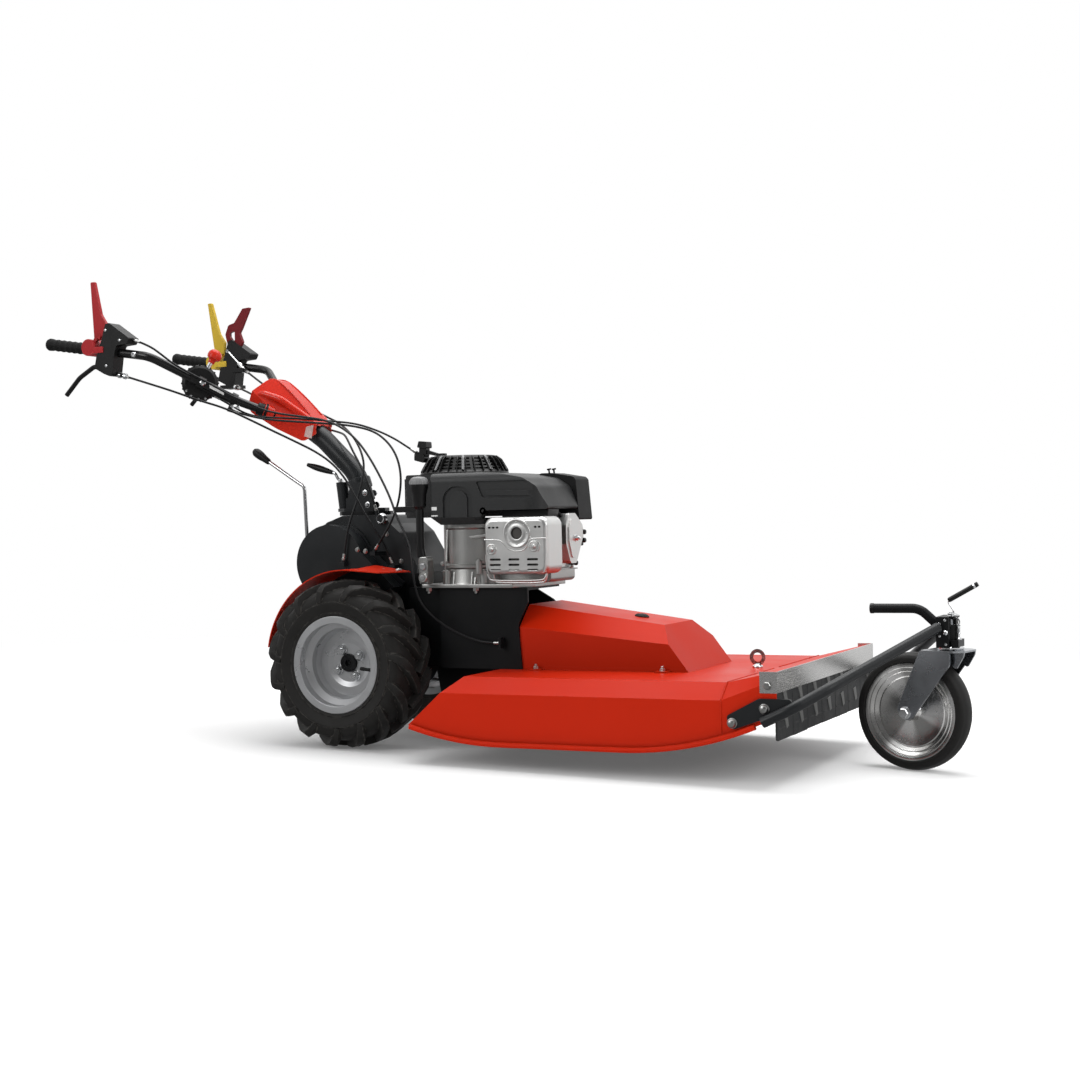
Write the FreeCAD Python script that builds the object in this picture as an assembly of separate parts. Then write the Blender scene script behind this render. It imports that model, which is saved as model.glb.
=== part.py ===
import FreeCAD, Part
import math
import os

# Walk-behind rough-cut mower: two driven tractor wheels at the back, a pressed steel deck with one
# rotor in front of them, a petrol engine over the deck's rear edge, a trailing castor wheel on two
# arms in front, and a handlebar that swings sideways on its turret.
#
# Built on a level chassis: +X forward, +Y left, +Z up, origin on the ground below the rear axle.
# At the end everything leans back by the stance angle, so that all three wheels stand on the
# ground, and moves back by ORIGIN_X, so that the origin lies under the middle of the machine.

V = FreeCAD.Vector
UP = V(0, 0, 1)
AHEAD = V(1, 0, 0)
LEFT = V(0, 1, 0)

# ---------------------------------------------------------------- driving dimensions, mm and degrees
FIT = 0.3            # clearance between pieces that touch in the real machine
RUNNING = 0.05       # radial clearance of a shaft in its bearing

# rear wheels: 8-inch pressed rims with tractor tyres
TYRE_R = 202.0
TYRE_WIDTH = 146.0
TRACK = 441.0        # between the middle planes of the two tyres
BEAD_SEAT_R = 101.6
RIM_FLANGE_R = 116.0
RIM_HALF_WIDTH = 66.0
RIM_SHEET = 3.0
DISC_R = 78.0
HUB_R = 25.0
HUB_FLANGE_R = 52.0
SHAFT_R = 15.0
AXLE_TUBE_R = 30.0

# gearbox between the rear wheels
GEARBOX_HALF_WIDTH = 64.0
GEARBOX_REAR_X = -105.0
GEARBOX_FRONT_X = 112.0
GEARBOX_TOP_Z = 410.0
GEARBOX_SUMP_R = 92.0

# covers over the gearbox and the fenders bolted to their sides
HOUSING_RIGHT_Y = -66.0
HOUSING_LEFT_Y = 110.0
PULLEY_FACE_Y = -112.0
FENDER_GAP = 20.0        # between the tyre's tread and the sheet above it
FENDER_SHEET = 2.5
FENDER_REACH = 19.5      # how far the fender passes the tyre's middle plane

# deck
SHEET = 4.0
DECK_TOP_Z = 187.0
DECK_HALF = 377.0
DECK_SHOULDER = 45.0     # width of the chamfer between the top and the skirt
DECK_FOLD_Z = 153.5
DECK_REAR_X = 372.0      # rear edge of the top sheet
DECK_REAR_SLOPE = 41.4
DECK_SEAM_X = 998.0      # where the rising front lip is welded on
DECK_FRONT_X = 1118.0
LIP_TOP_Z = 215.0
SKID_Z = 37.0            # underside of the flat stretch of the skids
SKID_REAR_X = 486.0      # where the flat stretch of the skids begins and ends
SKID_FRONT_X = 772.0
SKID_ARC_R = 810.0
SKID_BAR_R = 6.0

# belt cover on the deck
COVER_HALF = 145.0
COVER_TOP_HALF = 90.0
COVER_REAR_X = 422.0
COVER_FRONT_X = 840.0
COVER_SIDE_REAR_Z = 286.0
COVER_TOP_REAR_Z = 336.0
COVER_FALL = 0.137       # fall of the top, per mm ahead
COVER_SIDE_FALL = 0.1
COVER_NOSE_SLOPE = 53.0
COVER_SHEET = 2.5

# rotor
SPINDLE_X = 655.0
BLADE_REACH = 330.0
BLADE_Z = 78.0

# engine, vertical crankshaft
CRANK_X = 210.0
ENGINE_BASE_Z = 378.0

# castor
CASTOR_R = 130.0
CASTOR_TYRE_WIDTH = 56.0
CASTOR_RIM_R = 108.0
PIVOT_X = 1392.0
CASTOR_TRAIL = 89.0
CASTOR_AXLE_Z = 96.0
CASTOR_REST_TURN = -13.0
FORK_HALF = 45.0
FORK_SHEET = 4.0
STEM_R = 10.0
NUT_R = 11.0
CROWN_Z = 234.0

# handlebar
SWING_X = -80.0          # vertical axis on which the handlebar swings sideways
TURRET_Z = 566.0
MAST_R = 25.0
BAR_R = 11.0
GRIP_R = 15.5
BAR_BENDS = [0, 60, 60, 0]
GRIP_Y = 261.0
LOCK_X = -115 - MAST_R   # bolt that locks the swing, behind the mast

# cables: sheath diameters and the corners of their routes
THIN_CABLE = 5.0
CABLE = 5.5
THROTTLE_ROUTE = [
    (-440, -133, 870), (-406, -113, 846), (-368, -97, 821), (-322, -91, 812), (-263, -84, 808),
    (-196, -76, 802), (-126, -70, 794), (-58, -66, 785), (2, -60, 764), (44, -54, 743), (74, -49, 723),
    (97, -45, 708),
]
DRIVE_ROUTE = [
    (-394, -120, 830), (-347, -104, 813), (-281, -94, 802), (-208, -86, 795), (-134, -80, 788),
    (-65, -78, 780), (-1, -80, 764), (42, -86, 735), (70, -94, 701), (85, -102, 664), (90, -110, 625),
    (84, -116, 579), (62, -117, 533), (34, -116, 495), (14, -110, 472),
]
BLADE_ROUTE = [
    (-586, -262, 1011), (-546, -257, 996), (-515, -246, 971), (-494, -230, 949), (-454, -201, 920),
    (-418, -172, 895), (-380, -144, 866), (-345, -118, 847), (-314, -103, 830), (-262, -98, 817),
    (-195, -98, 807), (-126, -94, 795), (-76, -96, 771), (-35, -101, 740), (4, -110, 696),
    (41, -122, 646), (76, -138, 596), (108, -160, 542), (150, -182, 494), (173, -207, 447),
    (178, -212, 395), (189, -204, 345), (221, -190, 306), (260, -174, 277), (305, -164, 257),
    (343, -161, 249), (377, -161, 249),
]
REVERSE_ROUTE = [
    (-590, 222, 964), (-534, 186, 938), (-474, 146, 912), (-412, 108, 892), (-350, 92, 866),
    (-294, 88, 840), (-240, 80, 816), (-190, 62, 797), (-148, 24, 780), (-110, -14, 764),
    (-76, -42, 742), (-50, -60, 712), (-37, -70, 678), (-38, -82, 636), (-46, -96, 588),
    (-56, -116, 540), (-66, -120, 492), (-73, -121, 446),
]
LEFT_BRAKE_ROUTE = [
    (-600, 194, 918), (-540, 160, 900), (-474, 126, 872), (-408, 104, 838), (-348, 92, 812),
    (-288, 86, 796), (-232, 74, 783), (-184, 54, 772), (-146, 14, 764), (-114, -22, 748),
    (-86, -44, 718), (-60, -54, 684), (-38, -60, 646), (-24, -60, 606), (-14, -56, 566),
]
RIGHT_BRAKE_ROUTE = [
    (-628, -256, 924), (-562, -250, 903), (-497, -236, 881), (-432, -214, 855), (-370, -190, 834),
    (-316, -162, 804), (-262, -140, 774), (-205, -120, 744), (-150, -110, 716), (-105, -106, 685),
    (-70, -108, 648), (-42, -111, 606), (-18, -108, 562), (8, -101, 520), (32, -94, 480), (47, -88, 436),
]

ORIGIN_X = 280.0


# ---------------------------------------------------------------- ways of making shapes
def rounded_wire(points, radii, closed=True):
    """Straight runs joined by tangent arcs, with one radius for all the corners or one for each."""
    count = len(points)
    if not isinstance(radii, (list, tuple)):
        radii = [radii] * count
    starts, ends, arcs = [], [], []
    for i, here in enumerate(points):
        at_end = not closed and i in (0, count - 1)
        if at_end or radii[i] == 0:
            starts.append(here)
            ends.append(here)
            arcs.append(None)
            continue
        arriving = (here - points[i - 1]).normalize()
        leaving = (points[(i + 1) % count] - here).normalize()
        half_turn = arriving.getAngle(leaving) / 2
        reach = radii[i] * math.tan(half_turn)
        start = here - arriving * reach
        end = here + leaving * reach
        inward = (leaving - arriving).normalize()
        middle = here + inward * (radii[i] / math.cos(half_turn) - radii[i])
        starts.append(start)
        ends.append(end)
        arcs.append(Part.Arc(start, middle, end).toShape())
    edges = []
    for i in range(count):
        if arcs[i]:
            edges.append(arcs[i])
        if closed or i < count - 1:
            a, b = ends[i], starts[(i + 1) % count]
            if a.distanceToPoint(b) > 0.001:
                edges.append(Part.LineSegment(a, b).toShape())
    return Part.Wire(edges)


def slab(points, radii, push):
    """A flat outline with rounded corners, pushed into a solid."""
    return Part.Face(rounded_wire(points, radii)).extrude(push)


def slab_y(outline, y0, y1, radii=0):
    return slab([V(x, y0, z) for x, z in outline], radii, V(0, y1 - y0, 0))


def slab_z(outline, z0, z1, radii=0):
    return slab([V(x, y, z0) for x, y in outline], radii, V(0, 0, z1 - z0))


def slab_x(outline, x0, x1, radii=0):
    return slab([V(x0, y, z) for y, z in outline], radii, V(x1 - x0, 0, 0))


def block(x0, x1, y0, y1, z0, z1):
    return Part.makeBox(x1 - x0, y1 - y0, z1 - z0, V(x0, y0, z0))


def rod(start, end, radius):
    return Part.makeCylinder(radius, start.distanceToPoint(end), start, end - start)


def pipe(start, end, radius, bore):
    return rod(start, end, radius).cut(rod(start, end, bore))


def bent_bar(points, bends, radius):
    """A round bar along straight runs and tangent bends."""
    path = rounded_wire(points, bends, closed=False)
    ring = Part.Wire(Part.Circle(points[0], points[1] - points[0], radius).toShape())
    return path.makePipeShell([ring], True, False)


def bent_tube(points, bends, radius, wall):
    return bent_bar(points, bends, radius).cut(bent_bar(points, bends, radius - wall))


def turned(outline, radii, centre, along, out=None):
    """A turned piece: its outline gives (radius, distance along the axis)."""
    across = V(out) if out else (LEFT.cross(along) if abs(along.dot(LEFT)) < 0.9 else AHEAD)
    across = across.normalize()
    points = [centre + across * r + along * s for r, s in outline]
    return Part.Face(rounded_wire(points, radii)).revolve(centre, along, 360)


def joined(*shapes):
    whole = shapes[0]
    for shape in shapes[1:]:
        whole = whole.fuse(shape)
    return whole.removeSplitter()


def together(*shapes):
    """Like pieces in one node that don't touch each other."""
    return Part.makeCompound(list(shapes))


def mirrored(shape):
    return shape.mirror(V(0, 0, 0), LEFT)


def gland(route, end, length, radius):
    """Sleeve in line with a cable's first or last run, just beyond the cable's end."""
    tip, before = (V(*route[0]), V(*route[1])) if end == 0 else (V(*route[-1]), V(*route[-2]))
    out = (tip - before).normalize()
    return rod(tip + out * FIT, tip + out * (FIT + length), radius)


def turn_about(shape, base, axis, degrees):
    copy = shape.copy()
    copy.rotate(base, axis, degrees)
    return copy


# ---------------------------------------------------------------- rear wheels and axle
def wheel_centre(side):
    return V(0, side * TRACK / 2, TYRE_R)


def tyre(side):
    """Tractor tyre as a solid ring as large as its lugs; the bead sits on the rim."""
    half = TYRE_WIDTH / 2
    bead = RIM_HALF_WIDTH - RIM_SHEET - FIT
    bore = BEAD_SEAT_R + FIT
    outline = [
        (bore, -bead), (RIM_FLANGE_R + 4, -bead), (TYRE_R * 0.67, -half), (TYRE_R * 0.87, -half),
        (TYRE_R - 6, -half + 10), (TYRE_R, 0), (TYRE_R - 6, half - 10), (TYRE_R * 0.87, half),
        (TYRE_R * 0.67, half), (RIM_FLANGE_R + 4, bead), (bore, bead),
    ]
    return turned(outline, [2, 6, 12, 20, 6, 0, 6, 20, 12, 6, 2], wheel_centre(side), V(0, side, 0))


def rim(side):
    """Pressed rim: rolled flanges, bead seats, a drop centre and a dished disc with its holes."""
    centre, out = wheel_centre(side), V(0, side, 0)
    edge, sheet = RIM_HALF_WIDTH, RIM_SHEET
    seat, well = BEAD_SEAT_R, BEAD_SEAT_R - 14
    barrel = [
        (RIM_FLANGE_R, edge), (RIM_FLANGE_R, edge - sheet), (seat, edge - sheet), (seat, edge - 22),
        (well, edge - 32), (well, -edge + 32), (seat, -edge + 22), (seat, -edge + sheet),
        (RIM_FLANGE_R, -edge + sheet), (RIM_FLANGE_R, -edge), (seat - sheet, -edge),
        (seat - sheet, -edge + 23), (well - sheet, -edge + 33), (well - sheet, edge - 33),
        (seat - sheet, edge - 23), (seat - sheet, edge),
    ]
    disc = [
        (HUB_R - 3, 0), (46, 0), (58, 4), (DISC_R, 4), (well - sheet, 16), (well - sheet, 12),
        (DISC_R + 2, 0), (59, 0), (47, -4), (HUB_R - 3, -4),
    ]
    body = turned(barrel, 1.4, centre, out).fuse(turned(disc, 0, centre, out))
    for k in range(4):
        angle = math.radians(30 + 90 * k)
        at = centre + V(35 * math.cos(angle), 0, 35 * math.sin(angle)) - out * 10
        body = body.cut(Part.makeCylinder(5.5, 30, at, out))
    return body


def hub(side):
    """Hub bored for the axle shaft: flange behind the disc, pilot through it, dust cap and studs."""
    centre, out = wheel_centre(side), V(0, side, 0)
    outline = [
        (0, 24), (HUB_R - 9, 24), (HUB_R - 5, 20), (HUB_R - 5, 8), (HUB_R - 3 - FIT, 8),
        (HUB_R - 3 - FIT, -4 - FIT), (HUB_FLANGE_R, -4 - FIT), (HUB_FLANGE_R, -13),
        (HUB_R + 2, -13), (HUB_R + 2, -44), (SHAFT_R + RUNNING, -44), (SHAFT_R + RUNNING, -6), (0, -6),
    ]
    body = turned(outline, 0, centre, out)
    for k in range(4):
        angle = math.radians(30 + 90 * k)
        at = centre + V(35 * math.cos(angle), 0, 35 * math.sin(angle))
        body = body.fuse(Part.makeCylinder(5, 24, at - out * 10, out))
        nut = Part.Face(Part.makePolygon([
            at + out * FIT + V(10 * math.cos(a), 0, 10 * math.sin(a))
            for a in [math.radians(60 * n) for n in range(7)]
        ])).extrude(out * 8)
        body = body.fuse(nut)
    return body


def rear_axle():
    """Axle tube and shaft on each side of the gearbox."""
    sides = []
    for side in (-1, 1):
        inner, outer = side * (GEARBOX_HALF_WIDTH + FIT), side * (TRACK / 2 - 50)
        tip = side * (TRACK / 2 - 7)
        tube = rod(V(0, inner, TYRE_R), V(0, outer, TYRE_R), AXLE_TUBE_R)
        flange = rod(V(0, inner, TYRE_R), V(0, inner + side * 10, TYRE_R), AXLE_TUBE_R + 16)
        shaft = rod(V(0, inner, TYRE_R), V(0, tip, TYRE_R), SHAFT_R)
        sides.append(joined(tube, flange, shaft))
    return together(*sides)


def gearbox():
    """Cast gearbox: a round sump about the axle, straight walls up to the bearing head."""
    half = GEARBOX_HALF_WIDTH
    walls = block(GEARBOX_REAR_X + 20, GEARBOX_FRONT_X, -half, half, TYRE_R, GEARBOX_TOP_Z)
    sump = rod(V(0, -half, TYRE_R), V(0, half, TYRE_R), GEARBOX_SUMP_R)
    seam = block(GEARBOX_REAR_X + 10, GEARBOX_FRONT_X, -6, 6, TYRE_R, GEARBOX_TOP_Z)
    rim_seam = rod(V(0, -6, TYRE_R), V(0, 6, TYRE_R), GEARBOX_SUMP_R + 10)
    return joined(walls, sump, seam, rim_seam)


# ---------------------------------------------------------------- drive covers over the gearbox
def drive_housing():
    """Bowed sheet housing over the gearbox, on which the handlebar's turret stands."""
    outline = [
        (-160, 400), (-160, 538), (-138, 545), (-107, 556), (12, 556), (30, 534), (56, 512),
        (92, 452), (104, 430), (104, 400),
    ]
    shell = slab_y(outline, HOUSING_RIGHT_Y, HOUSING_LEFT_Y, [8, 12, 0, 30, 14, 12, 20, 20, 6, 4])
    shell = shell.cut(block(-180, GEARBOX_FRONT_X + 60, -300, 300, 300, GEARBOX_TOP_Z + FIT))
    plug = turned([(0, 0), (13, 0), (13, 8), (11, 12), (0, 12)], [0, 0, 1, 2, 0],
                  V(9, HOUSING_RIGHT_Y + 1, 546), V(0, -1, 0))
    brackets = [block(43, 57, -96, HOUSING_RIGHT_Y + 1, 422, 432),
                block(2, 16, -118, HOUSING_RIGHT_Y + 1, 456, 466)]
    glands = [gland(LEFT_BRAKE_ROUTE, 1, 13, 5), gland(RIGHT_BRAKE_ROUTE, 1, 10, 5),
              gland(DRIVE_ROUTE, 1, 12, 5)]
    return joined(shell, plug, *brackets, *glands)


def pulley_cover():
    """Teardrop cover of the drive pulley on the right of the housing, with a flange round its back."""
    centre = V(-121, 0, 438)
    slope = math.radians(43)
    lean = V(math.cos(slope), 0, -math.sin(slope))
    square = V(math.sin(slope), 0, math.cos(slope))
    y_back = HOUSING_RIGHT_Y - FIT

    def teardrop(radius, offset, y_front):
        drum = rod(V(centre.x, y_back, centre.z), V(centre.x, y_front, centre.z), radius)
        corners = [
            centre + square * offset, centre + square * offset + lean * 175,
            centre - square * 30 + lean * 175, centre - square * 30,
        ]
        return drum.fuse(slab([V(c.x, y_back, c.z) for c in corners], 0, V(0, y_front - y_back, 0)))

    cover = teardrop(96, 82, PULLEY_FACE_Y).fuse(teardrop(103, 95, y_back - 7))
    clip = block(-81, -68, PULLEY_FACE_Y - 15, PULLEY_FACE_Y + 1, 432, 441)
    return joined(cover, clip, gland(REVERSE_ROUTE, 1, 12, 5))


def turret():
    """Plate on the housing with the pivot pin for the handlebar."""
    plate = slab_z([(-136, -34), (-120, -48), (-30, -58), (-5, 0), (-30, 58), (-120, 48), (-136, 34)],
                   556 + FIT, TURRET_Z, [8, 10, 20, 20, 20, 10, 8])
    return joined(plate, rod(V(SWING_X, 0, TURRET_Z - 2), V(SWING_X, 0, TURRET_Z + 14), 10))


def fender(side):
    """Rolled sheet mudguard over the tyre's inner half, ending in a flat pointed front."""
    radius = TYRE_R + FENDER_GAP
    outer = TRACK / 2 + FENDER_REACH
    inner = (HOUSING_LEFT_Y if side > 0 else -PULLEY_FACE_Y) + FIT
    axis_in, axis_out = V(0, inner, TYRE_R), V(0, outer, TYRE_R)
    level = TYRE_R + math.sqrt(radius ** 2 - 20 ** 2)
    near = V(20, outer, level)
    far = V(-20, inner, level)
    keep = slab_z([(-300, inner - 1), (far.x, inner - 1), (far.x, inner), (near.x, outer),
                   (near.x, outer + 1), (-300, outer + 1)], 238, 500)
    sheet = pipe(axis_in, axis_out, radius + FENDER_SHEET, radius).common(keep)
    side_corner = V(98, outer, 417)
    inner_corner = V(13, inner, 430.4)
    tip = V(133, inner + 36, 416)
    for corners in ((near, far, inner_corner), (near, inner_corner, side_corner),
                    (side_corner, inner_corner, tip)):
        sheet = sheet.fuse(slab(list(corners), 0, V(0, 0, FENDER_SHEET)))
    sheet = sheet.removeSplitter()
    return sheet if side > 0 else mirrored(sheet)


# ---------------------------------------------------------------- deck
def below_skids(raised):
    """Everything under the runners' curve: a flat stretch with an arc up at each end."""
    radius = SKID_ARC_R - raised
    low, high = SKID_Z + raised, SKID_Z + SKID_ARC_R
    sweep = math.radians(32)
    rise, run = radius * math.cos(sweep), radius * math.sin(sweep)
    half_sweep = sweep / 2
    mid_rise, mid_run = radius * math.cos(half_sweep), radius * math.sin(half_sweep)
    y = -2 * DECK_HALF
    rear = V(SKID_REAR_X - run, y, high - rise)
    front = V(SKID_FRONT_X + run, y, high - rise)
    floor = -200
    outline = Part.Wire([
        Part.Arc(rear, V(SKID_REAR_X - mid_run, y, high - mid_rise), V(SKID_REAR_X, y, low)).toShape(),
        Part.LineSegment(V(SKID_REAR_X, y, low), V(SKID_FRONT_X, y, low)).toShape(),
        Part.Arc(V(SKID_FRONT_X, y, low), V(SKID_FRONT_X + mid_run, y, high - mid_rise), front).toShape(),
        Part.LineSegment(front, V(front.x, y, floor)).toShape(),
        Part.LineSegment(V(front.x, y, floor), V(rear.x, y, floor)).toShape(),
        Part.LineSegment(V(rear.x, y, floor), rear).toShape(),
    ])
    return Part.Face(outline).extrude(V(0, 4 * DECK_HALF, 0))


def deck_form(inset):
    """The deck's outer form, or the space inside its sheet when inset is the sheet's thickness."""
    half = DECK_HALF - inset

    def section(x, top_half, top_z, fold_z):
        angle = math.atan2(top_z - fold_z, DECK_HALF - top_half)
        top = top_half - inset * math.tan(angle / 2)
        fold = fold_z - inset * math.tan((math.pi / 2 - angle) / 2)
        corners = [(half, -150), (half, fold), (top, top_z - inset)]
        corners += [(-y, z) for y, z in reversed(corners)]
        points = [V(x, y, z) for y, z in corners]
        return Part.makePolygon(points + points[:1])

    rear = section(DECK_REAR_X - 300, (DECK_HALF - DECK_SHOULDER), DECK_TOP_Z, DECK_FOLD_Z)
    seam = section(DECK_SEAM_X, (DECK_HALF - DECK_SHOULDER), DECK_TOP_Z, DECK_FOLD_Z)
    front = section(DECK_FRONT_X, DECK_HALF - 7, LIP_TOP_Z, LIP_TOP_Z - 15)
    form = Part.makeLoft([rear, seam], True, True).fuse(Part.makeLoft([seam, front], True, True))
    if inset:
        mouth = Part.Face(front).extrude(V(30, 0, 0))
        form = form.fuse(mouth)
    slope = math.radians(DECK_REAR_SLOPE)
    down = V(-math.cos(slope), 0, -math.sin(slope))
    top = V(DECK_REAR_X, -2 * DECK_HALF, DECK_TOP_Z) + V(math.sin(slope), 0, -math.cos(slope)) * inset
    behind = [top - down * 200, top + down * 600, top + down * 600 - V(600, 0, 0), top - V(600, 0, -200)]
    behind = slab(behind, 0, V(0, 4 * DECK_HALF, 0))
    return form.cut(behind)


def deck_shell():
    """Sheet deck: flat top, chamfered shoulders, deep skirts, sloping back and a rising front lip."""
    shell = deck_form(0).cut(deck_form(SHEET)).cut(below_skids(SKID_BAR_R))
    ring = pipe(V(SPINDLE_X, 0, DECK_TOP_Z - SHEET - 3), V(SPINDLE_X, 0, DECK_TOP_Z - SHEET), 110, 46)
    return joined(shell, ring).cut(rod(V(SPINDLE_X, 0, 0), V(SPINDLE_X, 0, 300), 46))


def skid_rails():
    """Round bars along the skirts' lower edges, bent up at both ends."""
    radius = SKID_ARC_R - SKID_BAR_R
    centre_z = SKID_Z + SKID_ARC_R
    low = SKID_Z + SKID_BAR_R
    y = -(DECK_HALF + SKID_BAR_R + FIT)

    def on_arc(x, degrees):
        angle = math.radians(degrees)
        ahead = math.copysign(math.sin(angle), x - SPINDLE_X)
        return V(x + radius * ahead, y, centre_z - radius * math.cos(angle))

    rear_end, rear_mid = on_arc(SKID_REAR_X, 16.5), on_arc(SKID_REAR_X, 8)
    front_end, front_mid = on_arc(SKID_FRONT_X, 22), on_arc(SKID_FRONT_X, 11)
    path = Part.Wire([
        Part.Arc(rear_end, rear_mid, V(SKID_REAR_X, y, low)).toShape(),
        Part.LineSegment(V(SKID_REAR_X, y, low), V(SKID_FRONT_X, y, low)).toShape(),
        Part.Arc(V(SKID_FRONT_X, y, low), front_mid, front_end).toShape(),
    ])
    lead = V(math.cos(math.radians(16.5)), 0, -math.sin(math.radians(16.5)))
    ring = Part.Wire(Part.Circle(rear_end, lead, SKID_BAR_R).toShape())
    bar = path.makePipeShell([ring], True, False)
    return together(bar, mirrored(bar))


def belt_cover():
    """Folded cover over the belt: falling top, chamfered sides, sloping nose, open at the engine."""
    def form(inset):
        half = COVER_HALF - inset

        def section(x):
            side_z = COVER_SIDE_REAR_Z - COVER_SIDE_FALL * (x - COVER_REAR_X)
            top_z = COVER_TOP_REAR_Z - COVER_FALL * (x - COVER_REAR_X)
            angle = math.atan2(top_z - side_z, COVER_HALF - COVER_TOP_HALF)
            top = COVER_TOP_HALF - inset * math.tan(angle / 2)
            side = side_z - inset * math.tan((math.pi / 2 - angle) / 2)
            corners = [(half, DECK_TOP_Z + FIT - inset), (half, side), (top, top_z - inset)]
            corners += [(-y, z) for y, z in reversed(corners)]
            points = [V(x, y, z) for y, z in corners]
            return Part.makePolygon(points + points[:1])

        body = Part.makeLoft([section(COVER_REAR_X - 3 * inset), section(COVER_FRONT_X + 30)], True, True)
        slope = math.radians(COVER_NOSE_SLOPE)
        up = V(-math.cos(slope), 0, math.sin(slope))
        foot = V(COVER_FRONT_X, -300, DECK_TOP_Z) - V(math.sin(slope), 0, math.cos(slope)) * inset
        nose = [foot - up * 200, foot + up * 300,
                foot + up * 300 + V(400, 0, 0), foot - up * 200 + V(400, 0, 0)]
        return body.cut(slab(nose, 0, V(0, 600, 0)))

    shell = form(0).cut(form(COVER_SHEET))
    base = DECK_TOP_Z + FIT
    for side in (-1, 1):
        for x in (COVER_REAR_X + 45, COVER_FRONT_X - 58):
            y = sorted((side * (COVER_HALF - 1), side * (COVER_HALF + 24)))
            shell = shell.fuse(block(x - 15, x + 15, y[0], y[1], base, base + 3))
    return shell.removeSplitter()


def cover_cap():
    """Rubber plug in the cover's top, over the spindle's grease nipple."""
    x = SPINDLE_X + 16
    z = COVER_TOP_REAR_Z - COVER_FALL * (x - COVER_REAR_X)
    tilt = math.degrees(math.atan(COVER_FALL))
    cap = turned([(0, 0), (17, 0), (17, 2), (12, 6), (0, 7.5)], [0, 0, 1.5, 6, 0], V(x, 0, z + FIT), UP)
    return turn_about(cap, V(x, 0, z), LEFT, tilt)


def front_plate():
    """Stainless plate across the mouth's upper edge with its ends bent back along the skirts."""
    outer = DECK_HALF + FIT + 2
    x0, x1 = DECK_FRONT_X + FIT, DECK_FRONT_X + FIT + 2
    plate = block(x0, x1, -outer, outer, LIP_TOP_Z - 44, LIP_TOP_Z)
    tabs = [block(x1 - 37, x1, *sorted((s * (outer - 2), s * outer)), LIP_TOP_Z - 44, LIP_TOP_Z)
            for s in (-1, 1)]
    return joined(plate, *tabs)


def rubber_flaps():
    """Seven heavy flaps side by side behind the plate."""
    count, gap = 7, 2.0
    width = (2 * (DECK_HALF - SHEET) - (count + 1) * gap) / count
    flaps = []
    for k in range(count):
        y = -(DECK_HALF - SHEET) + gap + k * (width + gap)
        flaps.append(block(DECK_FRONT_X - 6, DECK_FRONT_X, y, y + width, 72, LIP_TOP_Z - 25))
    return together(*flaps)


def lifting_eye():
    """Eye bolt with a flat-bored ring on a collar."""
    x, ring_r, bore, thick = 953, 17.5, 10.5, 9
    z = DECK_TOP_Z + FIT + 7 + ring_r - 1
    half = thick / 2
    ring = turned([(bore, -half), (ring_r - 2, -half), (ring_r, -half + 2), (ring_r, half - 2),
                   (ring_r - 2, half), (bore, half)], 0, V(x, 0, z), LEFT, UP)
    collar = turned([(0, 0), (12, 0), (12, 5), (7, 9), (0, 9)], 0, V(x, 0, DECK_TOP_Z + FIT), UP)
    return ring.fuse(collar.cut(rod(V(x, -20, z), V(x, 20, z), bore + 3)))


def spindle_housing():
    """Flanged bearing housing of the rotor, bolted under the deck's top sheet."""
    top = DECK_TOP_Z + 24
    outline = [
        (12 + RUNNING, BLADE_Z + 14), (38, BLADE_Z + 14), (38, DECK_TOP_Z - SHEET - 20),
        (84, DECK_TOP_Z - SHEET - 14), (84, DECK_TOP_Z - SHEET - 3 - FIT),
        (46 - FIT, DECK_TOP_Z - SHEET - 3 - FIT), (46 - FIT, top), (12 + RUNNING, top),
    ]
    return turned(outline, 0, V(SPINDLE_X, 0, 0), UP)


def rotor():
    """Cross bar on the spindle with a swinging knife pinned on each end, and the spindle itself."""
    x, z = SPINDLE_X, BLADE_Z
    spindle = rod(V(x, 0, z - 14), V(x, 0, DECK_TOP_Z + 40), 12)
    boss = rod(V(x, 0, z), V(x, 0, z + 13), 34)
    bar = slab_z([(x - 24, -235), (x + 24, -235), (x + 38, 0), (x + 24, 235), (x - 24, 235),
                  (x - 38, 0)], z - 4, z + 4, 10)
    body = joined(spindle, boss, bar)
    knives = []
    for side in (-1, 1):
        knife = slab_z([(x - 24, side * 190), (x + 24, side * 190), (x + 24, side * BLADE_REACH),
                        (x - 16, side * BLADE_REACH), (x - 24, side * (BLADE_REACH - 60))],
                       z - 9.3, z - 4, 0)
        pin = rod(V(x, side * 212, z - 14), V(x, side * 212, z + 10), 9)
        knives.append(joined(knife, pin))
    return joined(body, *knives)


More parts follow.
